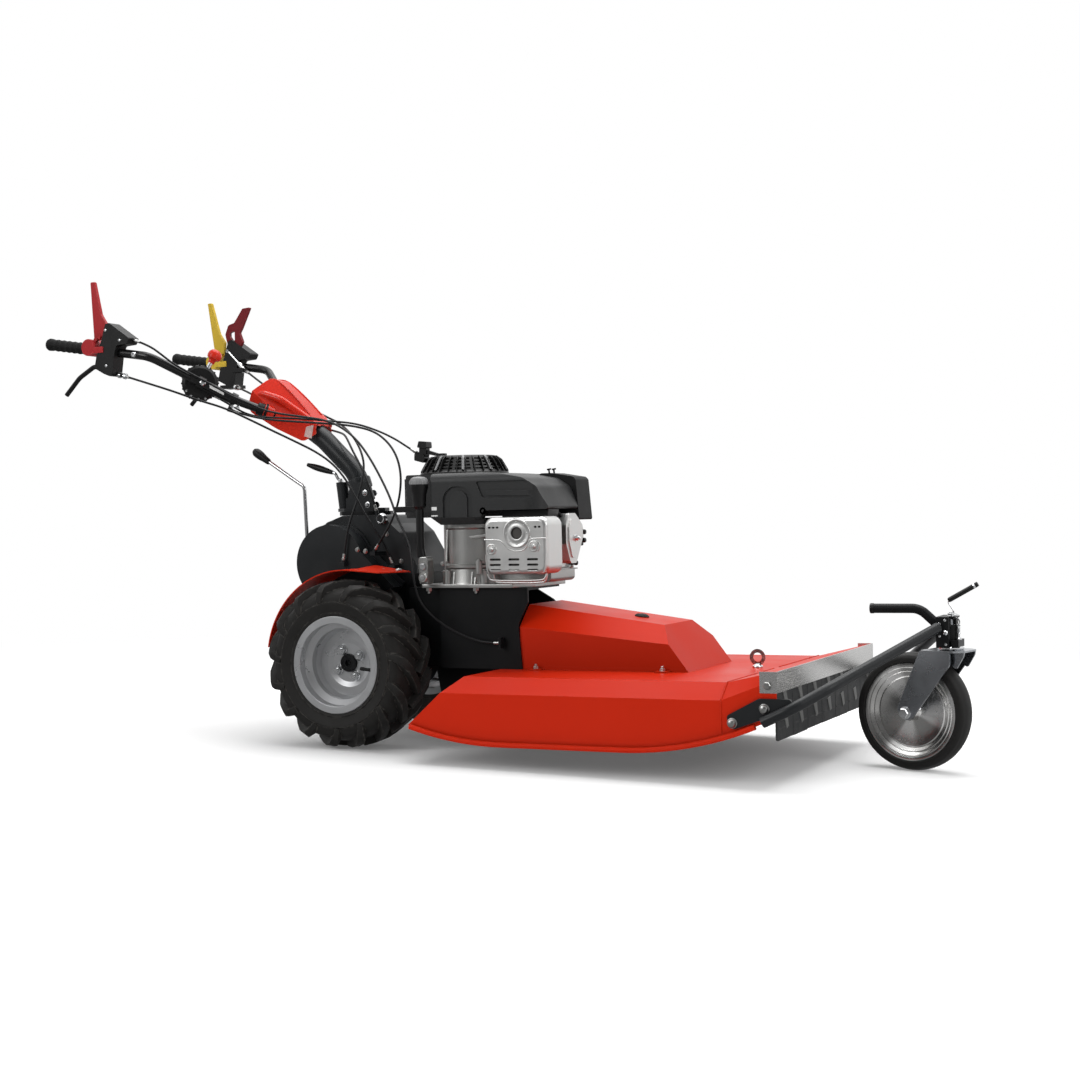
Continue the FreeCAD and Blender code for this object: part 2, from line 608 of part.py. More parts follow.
# ---------------------------------------------------------------- engine and its support
def engine_support():
    """Welded box between gearbox, deck and engine: side plates, top, floor and back wall."""
    inner = COVER_HALF + FIT
    plate = 5
    outer = inner + plate
    narrow = TRACK / 2 - TYRE_WIDTH / 2 - 28
    shoulder_x = TYRE_R + 12
    back_x = GEARBOX_FRONT_X + FIT
    base_z, top_z = DECK_TOP_Z + FIT, ENGINE_BASE_Z - FIT
    side = [(shoulder_x, top_z), (447, top_z), (447, 343), (420, 291), (428, base_z), (shoulder_x, base_z)]
    pieces = [block(shoulder_x, shoulder_x + plate, -outer, outer, base_z, top_z),
              block(back_x, back_x + plate, -narrow, narrow, base_z, top_z),
              block(shoulder_x, 447, -outer, -90, top_z - 6, top_z),
              block(shoulder_x, 430, -91, 60, top_z - 6, top_z),
              block(shoulder_x, 300, 59, outer, top_z - 6, top_z),
              block(back_x, shoulder_x, -narrow, narrow, top_z - 6, top_z),
              block(shoulder_x, 412, -outer, outer, base_z, base_z + plate),
              block(back_x, shoulder_x, -narrow, narrow, base_z, base_z + plate)]
    far_side = [(shoulder_x, top_z), (300, top_z), (372, 336), (420, 291), (428, base_z),
                (shoulder_x, base_z)]
    pieces.append(slab_y(side, -outer, -inner, [0, 0, 8, 30, 0, 0]))
    pieces.append(slab_y(far_side, inner, outer, [0, 6, 8, 30, 0, 0]))
    for s in (-1, 1):
        pieces.append(block(back_x, shoulder_x, *sorted((s * (narrow - plate), s * narrow)), base_z, top_z))
    pieces.append(block(377 + FIT, 383, -outer - 20, -outer + 1, 236, 262))
    return joined(*pieces)


def engine_crankcase():
    """Cast crankcase on its base flange, with corner bosses, and the cylinder block ahead of it."""
    z0 = ENGINE_BASE_Z
    foot = [(150, -165), (415, -165), (450, -110), (450, 60), (415, 105), (345, 150), (150, 150)]
    base = slab_z(foot, z0, z0 + 9, 18)
    case = slab_z([(136, -162), (345, -162), (345, 150), (136, 150)], z0 + 9, 545, 24)
    cylinder = block(340, 478, -98, 40, 408, 530)
    for k in range(9):
        z = 414 + 13 * k
        cylinder = cylinder.fuse(block(352, 484, -112, 54, z, z + 4))
    sump = slab_y([(340, 387), (478, 387), (484, 394), (484, 420), (340, 420)], -98, 40, 0)
    bosses = [rod(V(x, -158, z0 + 9), V(x, -158, 420), 11) for x in (240, 325)]
    ledge = slab_z([(214, -168), (348, -168), (348, -150), (214, -150)], 424, 430, 4)
    whole = joined(base, case, cylinder, sump, ledge, *bosses)
    return whole.cut(block(214, 352, -191, -165.5, 520, 552))


def valve_cover():
    """Five-sided pressed cover on the end of the cylinder, with its flange."""
    outline = [(-92, 478), (-92, 520), (-73, 549), (-38, 549), (4, 520), (4, 491), (-36, 431), (-68, 431)]
    cover = slab_x(outline, 489, 522, [16, 12, 10, 12, 12, 12, 12, 14])
    middle = [(-80, 484), (-80, 516), (-66, 536), (-42, 536), (-8, 513), (-8, 495), (-42, 444), (-63, 444)]
    face = slab_x(middle, 520, 525, [10, 8, 6, 8, 8, 8, 8, 10])
    rim = [(-100, 474), (-100, 522), (-78, 546), (-34, 546), (12, 524), (12, 487), (-32, 423), (-73, 423)]
    flange = slab_x(rim, 484 + FIT, 490, 12)
    return joined(cover, face, flange)


def engine_shroud():
    """Moulded blower housing: rounded corners, an arched recess, a long panel and a bevelled lip."""
    side = [(100, 546), (350, 546), (357, 560), (511, 560), (506, 575), (490, 614), (460, 634),
            (400, 645), (340, 650), (100, 650)]
    plan = [(100, -118), (213, -118), (215, -190), (511, -190), (511, 108), (100, 108)]
    cross = [(-190, 500), (-190, 650), (108, 650), (108, 500)]
    body = slab_y(side, -190, 108, [0, 0, 0, 6, 20, 20, 40, 60, 0, 14])
    body = body.common(slab_z(plan, 540, 660, [20, 6, 6, 48, 10, 20]))
    body = body.common(slab_x(cross, 90, 520, [0, 22, 22, 0]))
    lip = slab_x([(-190, 550), (-190, 546), (-176, 528), (-168, 528), (-168, 550)], 216, 350)
    lip = lip.common(slab_y([(216, 552), (216, 546), (238, 526), (350, 526), (350, 552)], -200, -160))
    arch = slab_y([(249, 545), (328, 545), (328, 618), (249, 618)], -191, -185, [0, 0, 34, 34])
    tongue = slab_y([(269, 540), (313, 540), (313, 607), (269, 607)], -188.5, -184, [0, 0, 20, 20])
    panel = slab_y([(338, 628), (354, 590), (505, 586), (498, 616), (466, 628)], -191, -186,
                   [3, 10, 12, 14, 26])
    bar = slab_y([(366, 595), (490, 592), (490, 604), (362, 607)], -188.5, -185, 5)
    body = body.fuse(lip).cut(arch.cut(tongue)).cut(panel.cut(bar))
    cleaner_corner = block(400 - FIT, 700, 8 - FIT, 300, 500, 700)
    return body.cut(cleaner_corner).removeSplitter()


def fuel_tank():
    """Plastic tank that wraps round the back and the left of the engine."""
    outline = [(72, -70), (100 - FIT, -70), (100 - FIT, 108 + FIT), (330, 108 + FIT), (330, 190), (72, 190)]
    tank = slab_z(outline, 554, 642, [12, 4, 0, 6, 24, 30])
    cap = turned([(0, 0), (26, 0), (26, 14), (20, 18), (0, 18)], [0, 0, 3, 3, 0], V(140, 150, 642 - 1), UP)
    return joined(tank, cap)


def recoil_starter():
    """Starter housing: a cone of level louvres held by upright ribs, with a slotted top."""
    x, z0 = CRANK_X - 2, 650 + FIT
    foot, top, height, rise = 104, 80, 46, 8
    cone = turned([(0, z0), (109, z0), (109, z0 + 4), (foot, z0 + rise), (top, z0 + height - 4),
                   (top - 5, z0 + height), (0, z0 + height)], [0, 0, 2, 2, 6, 4, 0], V(x, 0, 0), UP)
    housing = cone.copy()
    for k in range(4):
        z = z0 + rise + 3 + 8 * k
        r = foot - (z - z0 - rise) * (foot - top) / (height - 4 - rise)
        housing = housing.cut(pipe(V(x, 0, z), V(x, 0, z + 4.5), foot + 10, r - 7))
    for k in range(14):
        rib = block(x + top - 20, x + foot + 8, -3.5, 3.5, z0 + rise, z0 + height)
        housing = housing.fuse(cone.common(turn_about(rib, V(x, 0, 0), UP, 360 / 14 * k)))
    vent = block(x + 32, x + 66, -3, 3, z0 + height - 5, z0 + height + 10)
    for k in range(16):
        housing = housing.cut(turn_about(vent, V(x, 0, 0), UP, 22.5 * k + 6))
    return housing.removeSplitter()


def starter_grip():
    """T-shaped grip of the starter rope in its guide, on an arm from the starter's top."""
    y, top = -40, 650 + FIT + 46 + FIT
    head = slab_y([(105, 719), (132, 717), (131, 733), (110, 735)], y - 14, y + 14, 3)
    body = slab_y([(107, 697), (127, 697), (129, 722), (109, 722)], y - 9, y + 9, 3)
    guide = slab_y([(96, 688), (122, 681), (126, 692), (122, 703), (97, 705)], y - 13, y + 13, 3)
    arm = slab_y([(124, 714), (158, 703), (178, 703), (178, top), (156, top), (122, 704)], y - 6, y + 6, 1.5)
    return joined(head, body, guide, arm, gland(THROTTLE_ROUTE, 1, 10, 4.5))


def oil_filler():
    """Dipstick tube beside the crankcase: banjo foot, tube, filler neck and grey cap."""
    x, y = 192, -184
    foot = block(x - 10, x + 14, y - 10, -162 - FIT, ENGINE_BASE_Z + 10, 455)
    bolt = rod(V(x + 2, y - 16, 425), V(x + 2, y, 425), 9)
    tube = rod(V(x, y, 440), V(x - 6, y, 590), 9.5)
    neck = turned([(0, 570), (16, 570), (17, 600), (22, 618), (22, 626), (0, 626)], [0, 3, 10, 4, 2, 0],
                  V(x - 10, y, 0), UP)
    cap = turned([(0, 626), (23, 626), (24, 634), (17, 642), (0, 645)], [0, 3, 3, 5, 0], V(x - 10, y, 0), UP)
    shroud_gap = block(213 - FIT, x + 60, -190 - FIT, -100, 520, 660)
    return joined(foot, bolt, tube, neck, cap).cut(shroud_gap)


def muffler():
    """Exhaust box on the right of the cylinder, with its stub pipe from the head and its outlet."""
    box = slab_y([(398, 424), (528, 424), (528, 528), (398, 528)], -226, -150, 16)
    pipe_in = rod(V(430, -152, 476), V(430, -112 - FIT, 476), 16)
    outlet = rod(V(463, -233 + FIT, 507), V(463, -220, 507), 19)
    return joined(box, pipe_in, outlet)


def muffler_guard():
    """Pressed heat guard: ringed outlet hole, two dimples, rows of slots and a rolled lower lip."""
    x0, x1, z0, z1, y = 379, 541, 412, 543, -235
    front = slab_y([(x0, z0), (x1, z0), (x1, z1), (x0, z1)], y, y + 78, 20)
    bevel = slab_z([(x0, y + 10), (x0 + 10, y), (x1 - 12, y), (x1, y + 22), (x1, y + 90), (x0, y + 90)],
                   z0 - 1, z1 + 1, [6, 8, 10, 10, 0, 0])
    hollow = slab_y([(x0 + 2, z0 + 2), (x1 - 2, z0 + 2), (x1 - 2, z1 - 2), (x0 + 2, z1 - 2)], y + 2, y + 90, 18)
    hollow_bevel = slab_z([(x0 + 2, y + 12), (x0 + 11, y + 2), (x1 - 13, y + 2), (x1 - 2, y + 23),
                           (x1 - 2, y + 91),
                           (x0 + 2, y + 91)], z0 + 1, z1 - 1, [5, 7, 9, 9, 0, 0])
    lip = slab_y([(x0 + 4, z0 - 16), (x1 - 10, z0 - 16), (x1 - 10, z0 + 3), (x0 + 4, z0 + 3)], y + 8, y + 10.5, 6)
    ring = pipe(V(464, y - 3, 506), V(464, y + 1, 506), 33, 14)
    guard = front.common(bevel).cut(hollow.common(hollow_bevel)).fuse(lip).fuse(ring)
    guard = guard.cut(rod(V(464, y - 9, 506), V(464, y + 9, 506), 14))
    for k in range(8):
        angle = math.radians(45 * k)
        at = V(464 + 28 * math.cos(angle), y - 9, 506 + 28 * math.sin(angle))
        guard = guard.cut(rod(at, at + LEFT * 18, 2))
    for x, z in ((399, 470), (507, 476)):
        guard = guard.cut(rod(V(x, y - 9, z), V(x, y + 9, z), 4))
    for row in range(3):
        for column in range(3):
            x, z = 394 + 47.5 * column, 419.5 + 12.2 * row
            guard = guard.cut(slab_y([(x, z), (x + 28, z), (x + 28, z + 5), (x, z + 5)], y - 5, y + 5, 2.4))
    for x in (391, 401, 411, 508, 518):
        guard = guard.cut(slab_y([(x, 518), (x + 7, 518), (x + 7, 522), (x, 522)], y - 5, y + 5, 1.9))
    return guard.removeSplitter()


def air_cleaner():
    """Moulded air cleaner box on the left of the cylinder, narrower at its top."""
    side = [(402, 533), (512, 533), (504, 630), (497, 637), (439, 647), (402, 647)]
    box = slab_y(side, 8, 84, [4, 4, 8, 8, 20, 14])
    ribs = [slab_y([(414 + 18 * k, 626), (420 + 18 * k, 626), (420 + 18 * k, 540), (414 + 18 * k, 540)],
                   83, 86, 2) for k in range(5)]
    return joined(box, *ribs)


# ---------------------------------------------------------------- castor and its arms
def castor_arm(side):
    """Plate bolted on the skirt and a tube that runs along it, then bends in and up to the castor head."""
    y = -(DECK_HALF + FIT)
    plate = slab_y([(1010, 122), (1024, 94), (1092, 118), (1150, 146), (1166, 160), (1082, 160)], y - 6, y, 8)
    tube = bent_bar([V(1092, y - 13, 112), V(1154, y - 13, 141), V(1218, -330, 180), V(1374, -44, 284)],
                    [0, 60, 80, 0], 11.5)
    arm = joined(plate, tube)
    arm = arm.cut(rod(V(PIVOT_X, 0, 100), V(PIVOT_X, 0, 400), 40))
    arm = arm.cut(block(PIVOT_X - 60, PIVOT_X + 60, -40, 0, 200, 400))
    return arm if side < 0 else mirrored(arm)


def castor_head():
    """Pivot tube in a welded box: two plates, a back web, a top plate with its hook and the lock's pocket."""
    x = PIVOT_X
    bore = STEM_R + RUNNING
    tube = pipe(V(x, 0, CROWN_Z + 6), V(x, 0, 288), STEM_R + 6, bore)
    plates = [block(x - 19, x + 4, *sorted((s * 12, s * (40 - FIT))), CROWN_Z + 8, 307) for s in (-1, 1)]
    web = block(x - 23, x - 18, -40 + FIT, 40 - FIT, CROWN_Z + 6, 307)
    top = block(x - 19, x + 15, -24, 24, 303, 307)
    hook = block(x + 11, x + 15, -10, 10, 289, 304)
    pocket = block(x + 8, x + 23, -30, 30, CROWN_Z + 6, 256)
    head = joined(tube, *plates, web, top, hook, pocket, lift_handle())
    nut_room = rod(V(x, 0, 288), V(x, 0, 303), NUT_R + 3)
    return head.cut(rod(V(x, 0, 100), V(x, 0, 303), bore)).cut(nut_room)


def castor_lock():
    """Bolt that locks the castor straight, with its bent handle and grip."""
    x = PIVOT_X + 9
    pin = rod(V(x, 0, 307 + FIT), V(x, 0, 314), 5)
    stem = bent_bar([V(x, 0, 312), V(x - 2, 0, 320), V(x - 13, 0, 337), V(x - 4, 0, 345)], [0, 6, 5, 0], 2.5)
    grip = rod(V(1389, 0, 341), V(1452, 0, 376), 5.5)
    return joined(pin, stem, grip)


def lift_handle():
    """Loop handle behind the castor head for lifting the front."""
    return bent_bar([V(1220, 0, 323), V(1326, 0, 323), V(1378, 0, 275)], [0, 45, 0], 10.5)


def castor_point(back, across, z):
    """A point on the trailing fork at its rest turn: distance behind the pivot and to its left."""
    turn = math.radians(CASTOR_REST_TURN)
    return V(PIVOT_X - back * math.cos(turn) - across * math.sin(turn),
             -back * math.sin(turn) + across * math.cos(turn), z)


def castor_fork():
    """Pressed zinc fork: crown under the head, two tapering legs and the stem in the head."""
    x = PIVOT_X
    top = CROWN_Z
    legs = []
    for side in (-1, 1):
        outline = [(x - 52, top), (x + 18, top), (x + 18, top - 30),
                   (x - CASTOR_TRAIL + 18, CASTOR_AXLE_Z - 10), (x - CASTOR_TRAIL - 4, CASTOR_AXLE_Z - 20), (x - CASTOR_TRAIL - 20, CASTOR_AXLE_Z + 8)]
        y = sorted((side * FORK_HALF, side * (FORK_HALF - FORK_SHEET)))
        legs.append(slab_y(outline, y[0], y[1], [8, 8, 20, 16, 16, 16]))
    crown = slab_z([(x - 52, -FORK_HALF), (x + 26, -FORK_HALF), (x + 46, -28), (x + 46, 28),
                    (x + 26, FORK_HALF), (x - 52, FORK_HALF)], top - FORK_SHEET, top, 8)
    stop = [slab_y([(x + 10, top), (x + 45, top), (x + 43, top - 12), (x + 26, top - 40), (x + 10, top - 30)],
                   *sorted((s * 30, s * 26)), [0, 2, 12, 4, 4]) for s in (-1, 1)]
    stem = rod(V(x, 0, top - 1), V(x, 0, 300), STEM_R)
    washer = rod(V(x, 0, top - 1), V(x, 0, top + 6 - FIT), 22)
    wheel_x = x - CASTOR_TRAIL
    axle = rod(V(wheel_x, -FORK_HALF - 10, CASTOR_AXLE_Z), V(wheel_x, FORK_HALF + 10, CASTOR_AXLE_Z), 8)
    nut = rod(V(x, 0, 288 + FIT), V(x, 0, 298), NUT_R)
    return turn_about(joined(*legs, *stop, crown, stem, washer, axle, nut), V(x, 0, 0), UP, CASTOR_REST_TURN)


def castor_turned(outline, radii):
    centre = V(PIVOT_X - CASTOR_TRAIL, 0, CASTOR_AXLE_Z)
    piece = turned(outline, radii, centre, LEFT)
    return turn_about(piece, V(PIVOT_X, 0, 0), UP, CASTOR_REST_TURN)


def castor_tyre():
    """Solid rubber tyre with a rounded tread."""
    half, seat = CASTOR_TYRE_WIDTH / 2, CASTOR_RIM_R + FIT
    return castor_turned([(seat, -half), (CASTOR_R - 6, -half), (CASTOR_R, -8), (CASTOR_R, 8),
                          (CASTOR_R - 6, half), (seat, half)], [2, 10, 30, 30, 10, 2])


def castor_disc():
    """Two pressed discs on a hub, dished and rolled into the tyre's seat."""
    half = CASTOR_TYRE_WIDTH / 2
    outline = [
        (8 + RUNNING, -33), (19, -33), (19, -14), (48, -8), (82, -12), (96, -half + 4),
        (CASTOR_RIM_R, -half + 4),
        (CASTOR_RIM_R, half - 4), (96, half - 4), (82, 12), (48, 8), (19, 14), (19, 33), (8 + RUNNING, 33),
    ]
    return castor_turned(outline, [0, 2, 4, 20, 16, 6, 2, 2, 6, 16, 20, 4, 2, 0])


# ---------------------------------------------------------------- handlebar
def mast():
    """Curved steel column from the turret to the cross head under the console cover."""
    column = bent_tube([V(-78, 0, 592), V(-104, 0, 664), V(-196, 0, 752), V(-292, 0, 820)],
                       [0, 110, 150, 0], MAST_R, 3)
    body = joined(column, cross_head())
    for side in (-1, 1):
        body = body.cut(bent_bar(bar_points(side), BAR_BENDS, BAR_R + FIT))
    return body


def mast_bracket():
    """Turning base of the mast: base plate on the turret, two cheeks and the lock bolt's tube."""
    z = TURRET_Z + FIT
    web_x, lock_x = -85 - MAST_R, LOCK_X
    base = [(lock_x - 15, -12), (-122, -34), (-30, -38), (-22, 0), (-30, 38), (-122, 34), (lock_x - 15, 12)]
    plate = slab_z(base, z, z + 8, 8)
    cheeks = []
    for side in (-1, 1):
        y = sorted((side * (MAST_R + FIT), side * (MAST_R + 6)))
        front = -34 if side < 0 else -68
        cheek = [(web_x - 8, z + 6), (front, z + 6), (front - 12, 632), (front - 22, 640), (-104, 640)]
        cheeks.append(slab_y(cheek, y[0], y[1], [0, 0, 8, 4, 4]))
    web = block(web_x - 8, web_x, -MAST_R - 6, MAST_R + 6, z + 6, 600)
    lock_tube = pipe(V(lock_x, 0, z + 6), V(lock_x - 8, 0, 640), 15, 8 + FIT)
    body = joined(plate, *cheeks, lock_tube, web)
    return body.cut(rod(V(SWING_X, 0, 500), V(SWING_X, 0, z + 8), 10 + RUNNING)).cut(
        rod(V(SWING_X, 0, z + 8), V(SWING_X, 0, TURRET_Z + 16), 11))


def swing_lock():
    """Lock bolt with its handle."""
    x = LOCK_X - 8
    pin = rod(V(x, 0, 640.9), V(x - 1, 0, 652), 12)
    stem = bent_bar([V(x - 1, 0, 648), V(x - 12, 0, 656), V(x - 24, 0, 662), V(x - 48, 0, 668)], [0, 10, 10, 0], 5)
    grip = rod(V(x - 42, 0, 666), V(x - 102, 0, 684), 8)
    return joined(pin, stem, grip)


def cross_head():
    """Clamp on the mast's end that holds the two handlebar tubes."""
    body = slab_z([(-322, -61.5), (-316, -61.5), (-304, -55), (-290, -46), (-260, -30), (-260, 30), (-290, 46),
                   (-304, 55), (-316, 61.5), (-322, 61.5)], 798, 832, 1.5)
    for side in (-1, 1):
        body = body.cut(bent_bar(bar_points(side), BAR_BENDS, BAR_R + FIT))
    return body


def bar_points(side):
    """Corners of a handlebar tube from its grip to the cross head."""
    return [V(-862, side * GRIP_Y, 1018), V(-546, side * (GRIP_Y - 3), 968.4), V(-380, side * 108, 853),
            V(-296, side * 40, 812.5)]


def handlebar(side):
    """One handlebar tube from its grip to the cross head."""
    return bent_tube(bar_points(side), BAR_BENDS, BAR_R, 2)


def grip(side):
    """Moulded grip with finger ridges on its underside."""
    start, corner = bar_points(side)[:2]
    along = (corner - start).normalize()
    start = start - along * 4
    ridges = []
    for k in range(7):
        ridges += [(GRIP_R, 14 + 18 * k), (GRIP_R - 1.6, 23 + 18 * k)]
    outline = [(0, 0), (GRIP_R - 2, 0), (GRIP_R + 0.5, 5)] + ridges + [
        (GRIP_R, 142), (GRIP_R - 1, 146), (BAR_R + FIT, 146), (BAR_R + FIT, 4 - FIT), (0, 4 - FIT)]
    return turned(outline, 0, start, along)


def console_cover():
    """Moulded cover of the cross head: a crest, a swept ridge over each tube, hoods and mast mouth."""
    wall = 4
    outline = [(-383, 858), (-380, 830), (-329, 800), (-299, 782), (-232, 748), (-198, 766),
               (-201, 795), (-253, 851), (-288, 884), (-318, 909), (-342, 915), (-372, 884)]
    inside = [(-420, 862), (-410, 820), (-332, 780), (-300, 760), (-232, 728), (-170, 736), (-170, 765),
              (-205, 791), (-257, 847), (-292, 880), (-320, 904), (-340, 910), (-370, 880)]
    plan = [(-400, -64), (-310, -66), (-196, -38), (-196, 38), (-310, 66), (-400, 64)]
    inner_plan = [(-420, -60), (-311, -62), (-160, -27), (-160, 27), (-311, 62), (-420, 60)]
    form = slab_y(outline, -66, 66, [10, 16, 30, 40, 16, 6, 16, 60, 60, 20, 16, 16])
    form = form.common(slab_z(plan, 600, 1000, [24, 60, 12, 12, 60, 24]))
    hollow = slab_y(inside, -62, 62).common(slab_z(inner_plan, 600, 1000))

    def flank(side, depth):
        """Everything outside the slanting face between the crest and the ridge."""
        corners = [V(-318, side * 22, 908), V(-350, side * 52, 886), V(-222, side * 28, 818)]
        outward = (corners[1] - corners[0]).cross(corners[2] - corners[0]).normalize() * side
        outward = outward if outward.z > 0 else outward * -1
        along = (corners[2] - corners[0]).normalize()
        across = outward.cross(along)
        middle = corners[0] - outward * depth
        square = ((-400, -400), (400, -400), (400, 400), (-400, 400))
        sheet = [middle + along * a + across * b for a, b in square]
        return slab(sheet, 0, outward * 300)

    for side in (-1, 1):
        form = form.cut(flank(side, 0))
        hollow = hollow.cut(flank(side, wall))
    shell = form
    for side in (-1, 1):
        ridge = [V(-378, side * 54, 856), V(-348, side * 55, 876), V(-292, side * 53, 858),
                 V(-222, side * 36, 806), V(-202, side * 30, 786)]
        shell = shell.fuse(bent_bar(ridge, [0, 24, 50, 60, 0], 9))
        mouth, inward = bar_points(side)[2], (bar_points(side)[3] - bar_points(side)[2]).normalize()
        shell = shell.fuse(rod(mouth + inward * 64, mouth + inward * 90, BAR_R + 8))
    shell = shell.cut(hollow)
    for side in (-1, 1):
        shell = shell.cut(bent_bar(bar_points(side), BAR_BENDS, BAR_R + 4))
    shell = shell.cut(bent_bar([V(-104, 0, 664), V(-196, 0, 752), V(-300, 0, 825.6)], [0, 150, 0], MAST_R + 4))
    return max(shell.removeSplitter().Solids, key=lambda solid: solid.Volume)


def lever_mount(side):
    """Plastic clamp round the tube with the cheeks that carry the levers and the cables' glands."""
    y = side * GRIP_Y
    outline = [(-702, 946), (-695, 976), (-680, 1010), (-664, 1056), (-652, 1058), (-590, 1016),
               (-598, 1002), (-630, 1000), (-640, 972), (-648, 921), (-672, 930)]
    body = slab_y(outline, y - 20, y + 20, [6, 10, 10, 4, 4, 4, 6, 8, 10, 6, 10])
    if side < 0:
        carried = [gland(BLADE_ROUTE, 0, 18, 5.5), gland(RIGHT_BRAKE_ROUTE, 0, 26, 5.5)]
    else:
        carried = [gland(REVERSE_ROUTE, 0, 22, 5.5), block(-640, -602, y - 40, y - 16, 964, 976),
                   gland(LEFT_BRAKE_ROUTE, 0, 22, 5.5), block(-664, -612, y - 64, y - 16, 919, 928)]
    body = joined(body, *carried)
    return body.cut(bent_bar(bar_points(side), BAR_BENDS, BAR_R + FIT))


def clutch_lever(side):
    """Long upright lever on the clamp."""
    y = side * GRIP_Y
    back = 20 if side > 0 else -5
    blade = slab_y([(-726 - back, 1168), (-706 - back, 1168), (-684 - 0.8 * back, 1078),
                    (-670 - 0.8 * back, 1056), (-680, 1020), (-716, 1024)], y - 7, y + 7, [9, 9, 12, 6, 6, 6])
    collar = slab_y([(-742, 1012), (-720, 1030), (-684, 1024), (-661, 1004), (-664, 986), (-716, 978)],
                    y - 22, y + 22, [8, 6, 6, 4, 4, 8])
    body = joined(blade, collar)
    body = body.cut(bent_bar(bar_points(side), BAR_BENDS, GRIP_R + 1))
    return body.cut(lever_mount(side))


def brake_lever(side):
    """Curved hand lever under the grip."""
    y = side * GRIP_Y
    body = bent_bar([V(-812, y, 884), V(-768, y, 926), V(-720, y, 952), V(-690, y, 950)], [0, 60, 20, 0], 6)
    body = body.cut(lever_mount(side))
    return max(body.Solids, key=lambda solid: solid.Volume)


def dead_man_lever():
    """Second lever on the left: a cranked blade with a window, folded forward."""
    y = GRIP_Y - 12
    outline = [(-616, 1143), (-591, 1145), (-621, 1087), (-628, 1076), (-618, 1050), (-626, 1038), (-664, 1026),
               (-676, 1074), (-665, 1100), (-645, 1105)]
    blade = slab_y(outline, y - 5, y + 5, [4, 2, 5, 5, 5, 5, 4, 10, 10, 6])
    window = slab_y([(-661, 1078), (-644, 1083), (-644, 1054), (-653, 1057), (-661, 1068)], y - 9, y + 9, 2)
    return blade.cut(window).cut(lever_mount(1))


def throttle_quadrant():
    """Serrated housing on the inside of the right tube with the throttle lever and its knob."""
    corner, bend = bar_points(-1)[1:3]
    along = (bend - corner).normalize()
    level = V(along.x, along.y, 0).normalize()
    inward = V(-level.y, level.x, 0)
    on_tube = corner + (bend - corner) * 0.568
    centre = on_tube + inward * (BAR_R + 16)
    disc = turned([(0, -9), (38, -9), (46, -4), (46, 6), (38, 10), (0, 10)], [0, 3, 3, 3, 3, 0], centre,
                  inward, UP)
    arm = rod(on_tube, centre, 9)
    lever = level * 39 + UP * 71
    stalk = Part.makeCone(6, 3.5, lever.Length * 0.8, centre, lever)
    knob = turned([(0, 0), (8, 0), (8, 8), (16.5, 18), (15, 30), (0, 36)], [0, 2, 4, 8, 8, 0],
                  centre + lever * 0.73, V(lever).normalize())
    far_clamp = corner + (bend - corner) * 0.93
    clamps = [rod(on_tube - along * 9, on_tube + along * 9, BAR_R + 4),
              rod(far_clamp - along * 8, far_clamp + along * 8, BAR_R + 4)]
    strap_start, strap_end = on_tube - UP * (BAR_R + 3), far_clamp - UP * (BAR_R + 3)
    strap = rod(strap_start, strap_end, 2.5)
    glands = [gland(THROTTLE_ROUTE, 0, 16, 5), gland(DRIVE_ROUTE, 0, 14, 5)]
    lug = rod(far_clamp, V(-403, -123, 833.3), 5)
    whole = joined(disc, arm, stalk, knob, *clamps, strap, *glands, lug)
    return whole.cut(bent_bar(bar_points(-1), BAR_BENDS, BAR_R + FIT))


def gear_lever():
    """Chromed rod from the gearbox with a black knob."""
    rod_part = bent_bar([V(-160 - FIT, 0, 470), V(-257, 0, 474), V(-262, 0, 632), V(-392, 0, 716)],
                        [0, 14, 16, 0], 5)
    knob = turned([(0, 0), (10, 0), (15, 24), (13, 44), (0, 48)], [0, 3, 10, 10, 0], V(-372, 0, 702),
                  V(-125, 0, 86).normalize())
    return joined(rod_part, knob)


# ---------------------------------------------------------------- cables
def cable(name, points, diameter):
    """A sheathed cable: straight runs joined by arcs as large as its clips and neighbours leave room for."""
    points = [V(*p) for p in points]
    runs = [a.distanceToPoint(b) for a, b in zip(points, points[1:])]
    radii = [0]
    length = sum(runs)
    for i in range(1, len(points) - 1):
        turn = (points[i] - points[i - 1]).getAngle(points[i + 1] - points[i])
        radii.append(0.45 * min(runs[i - 1], runs[i]) / math.tan(turn / 2))
        length -= radii[-1] * (2 * math.tan(turn / 2) - turn)
    radii.append(0)
    tube = bent_bar(points, radii, diameter / 2)
    section = math.pi * (diameter / 2) ** 2
    print(name, "radii", [round(r) for r in radii[1:-1]], "length", round(length),
          "volume against section x length", round(tube.Volume / (section * length), 4))
    return tube



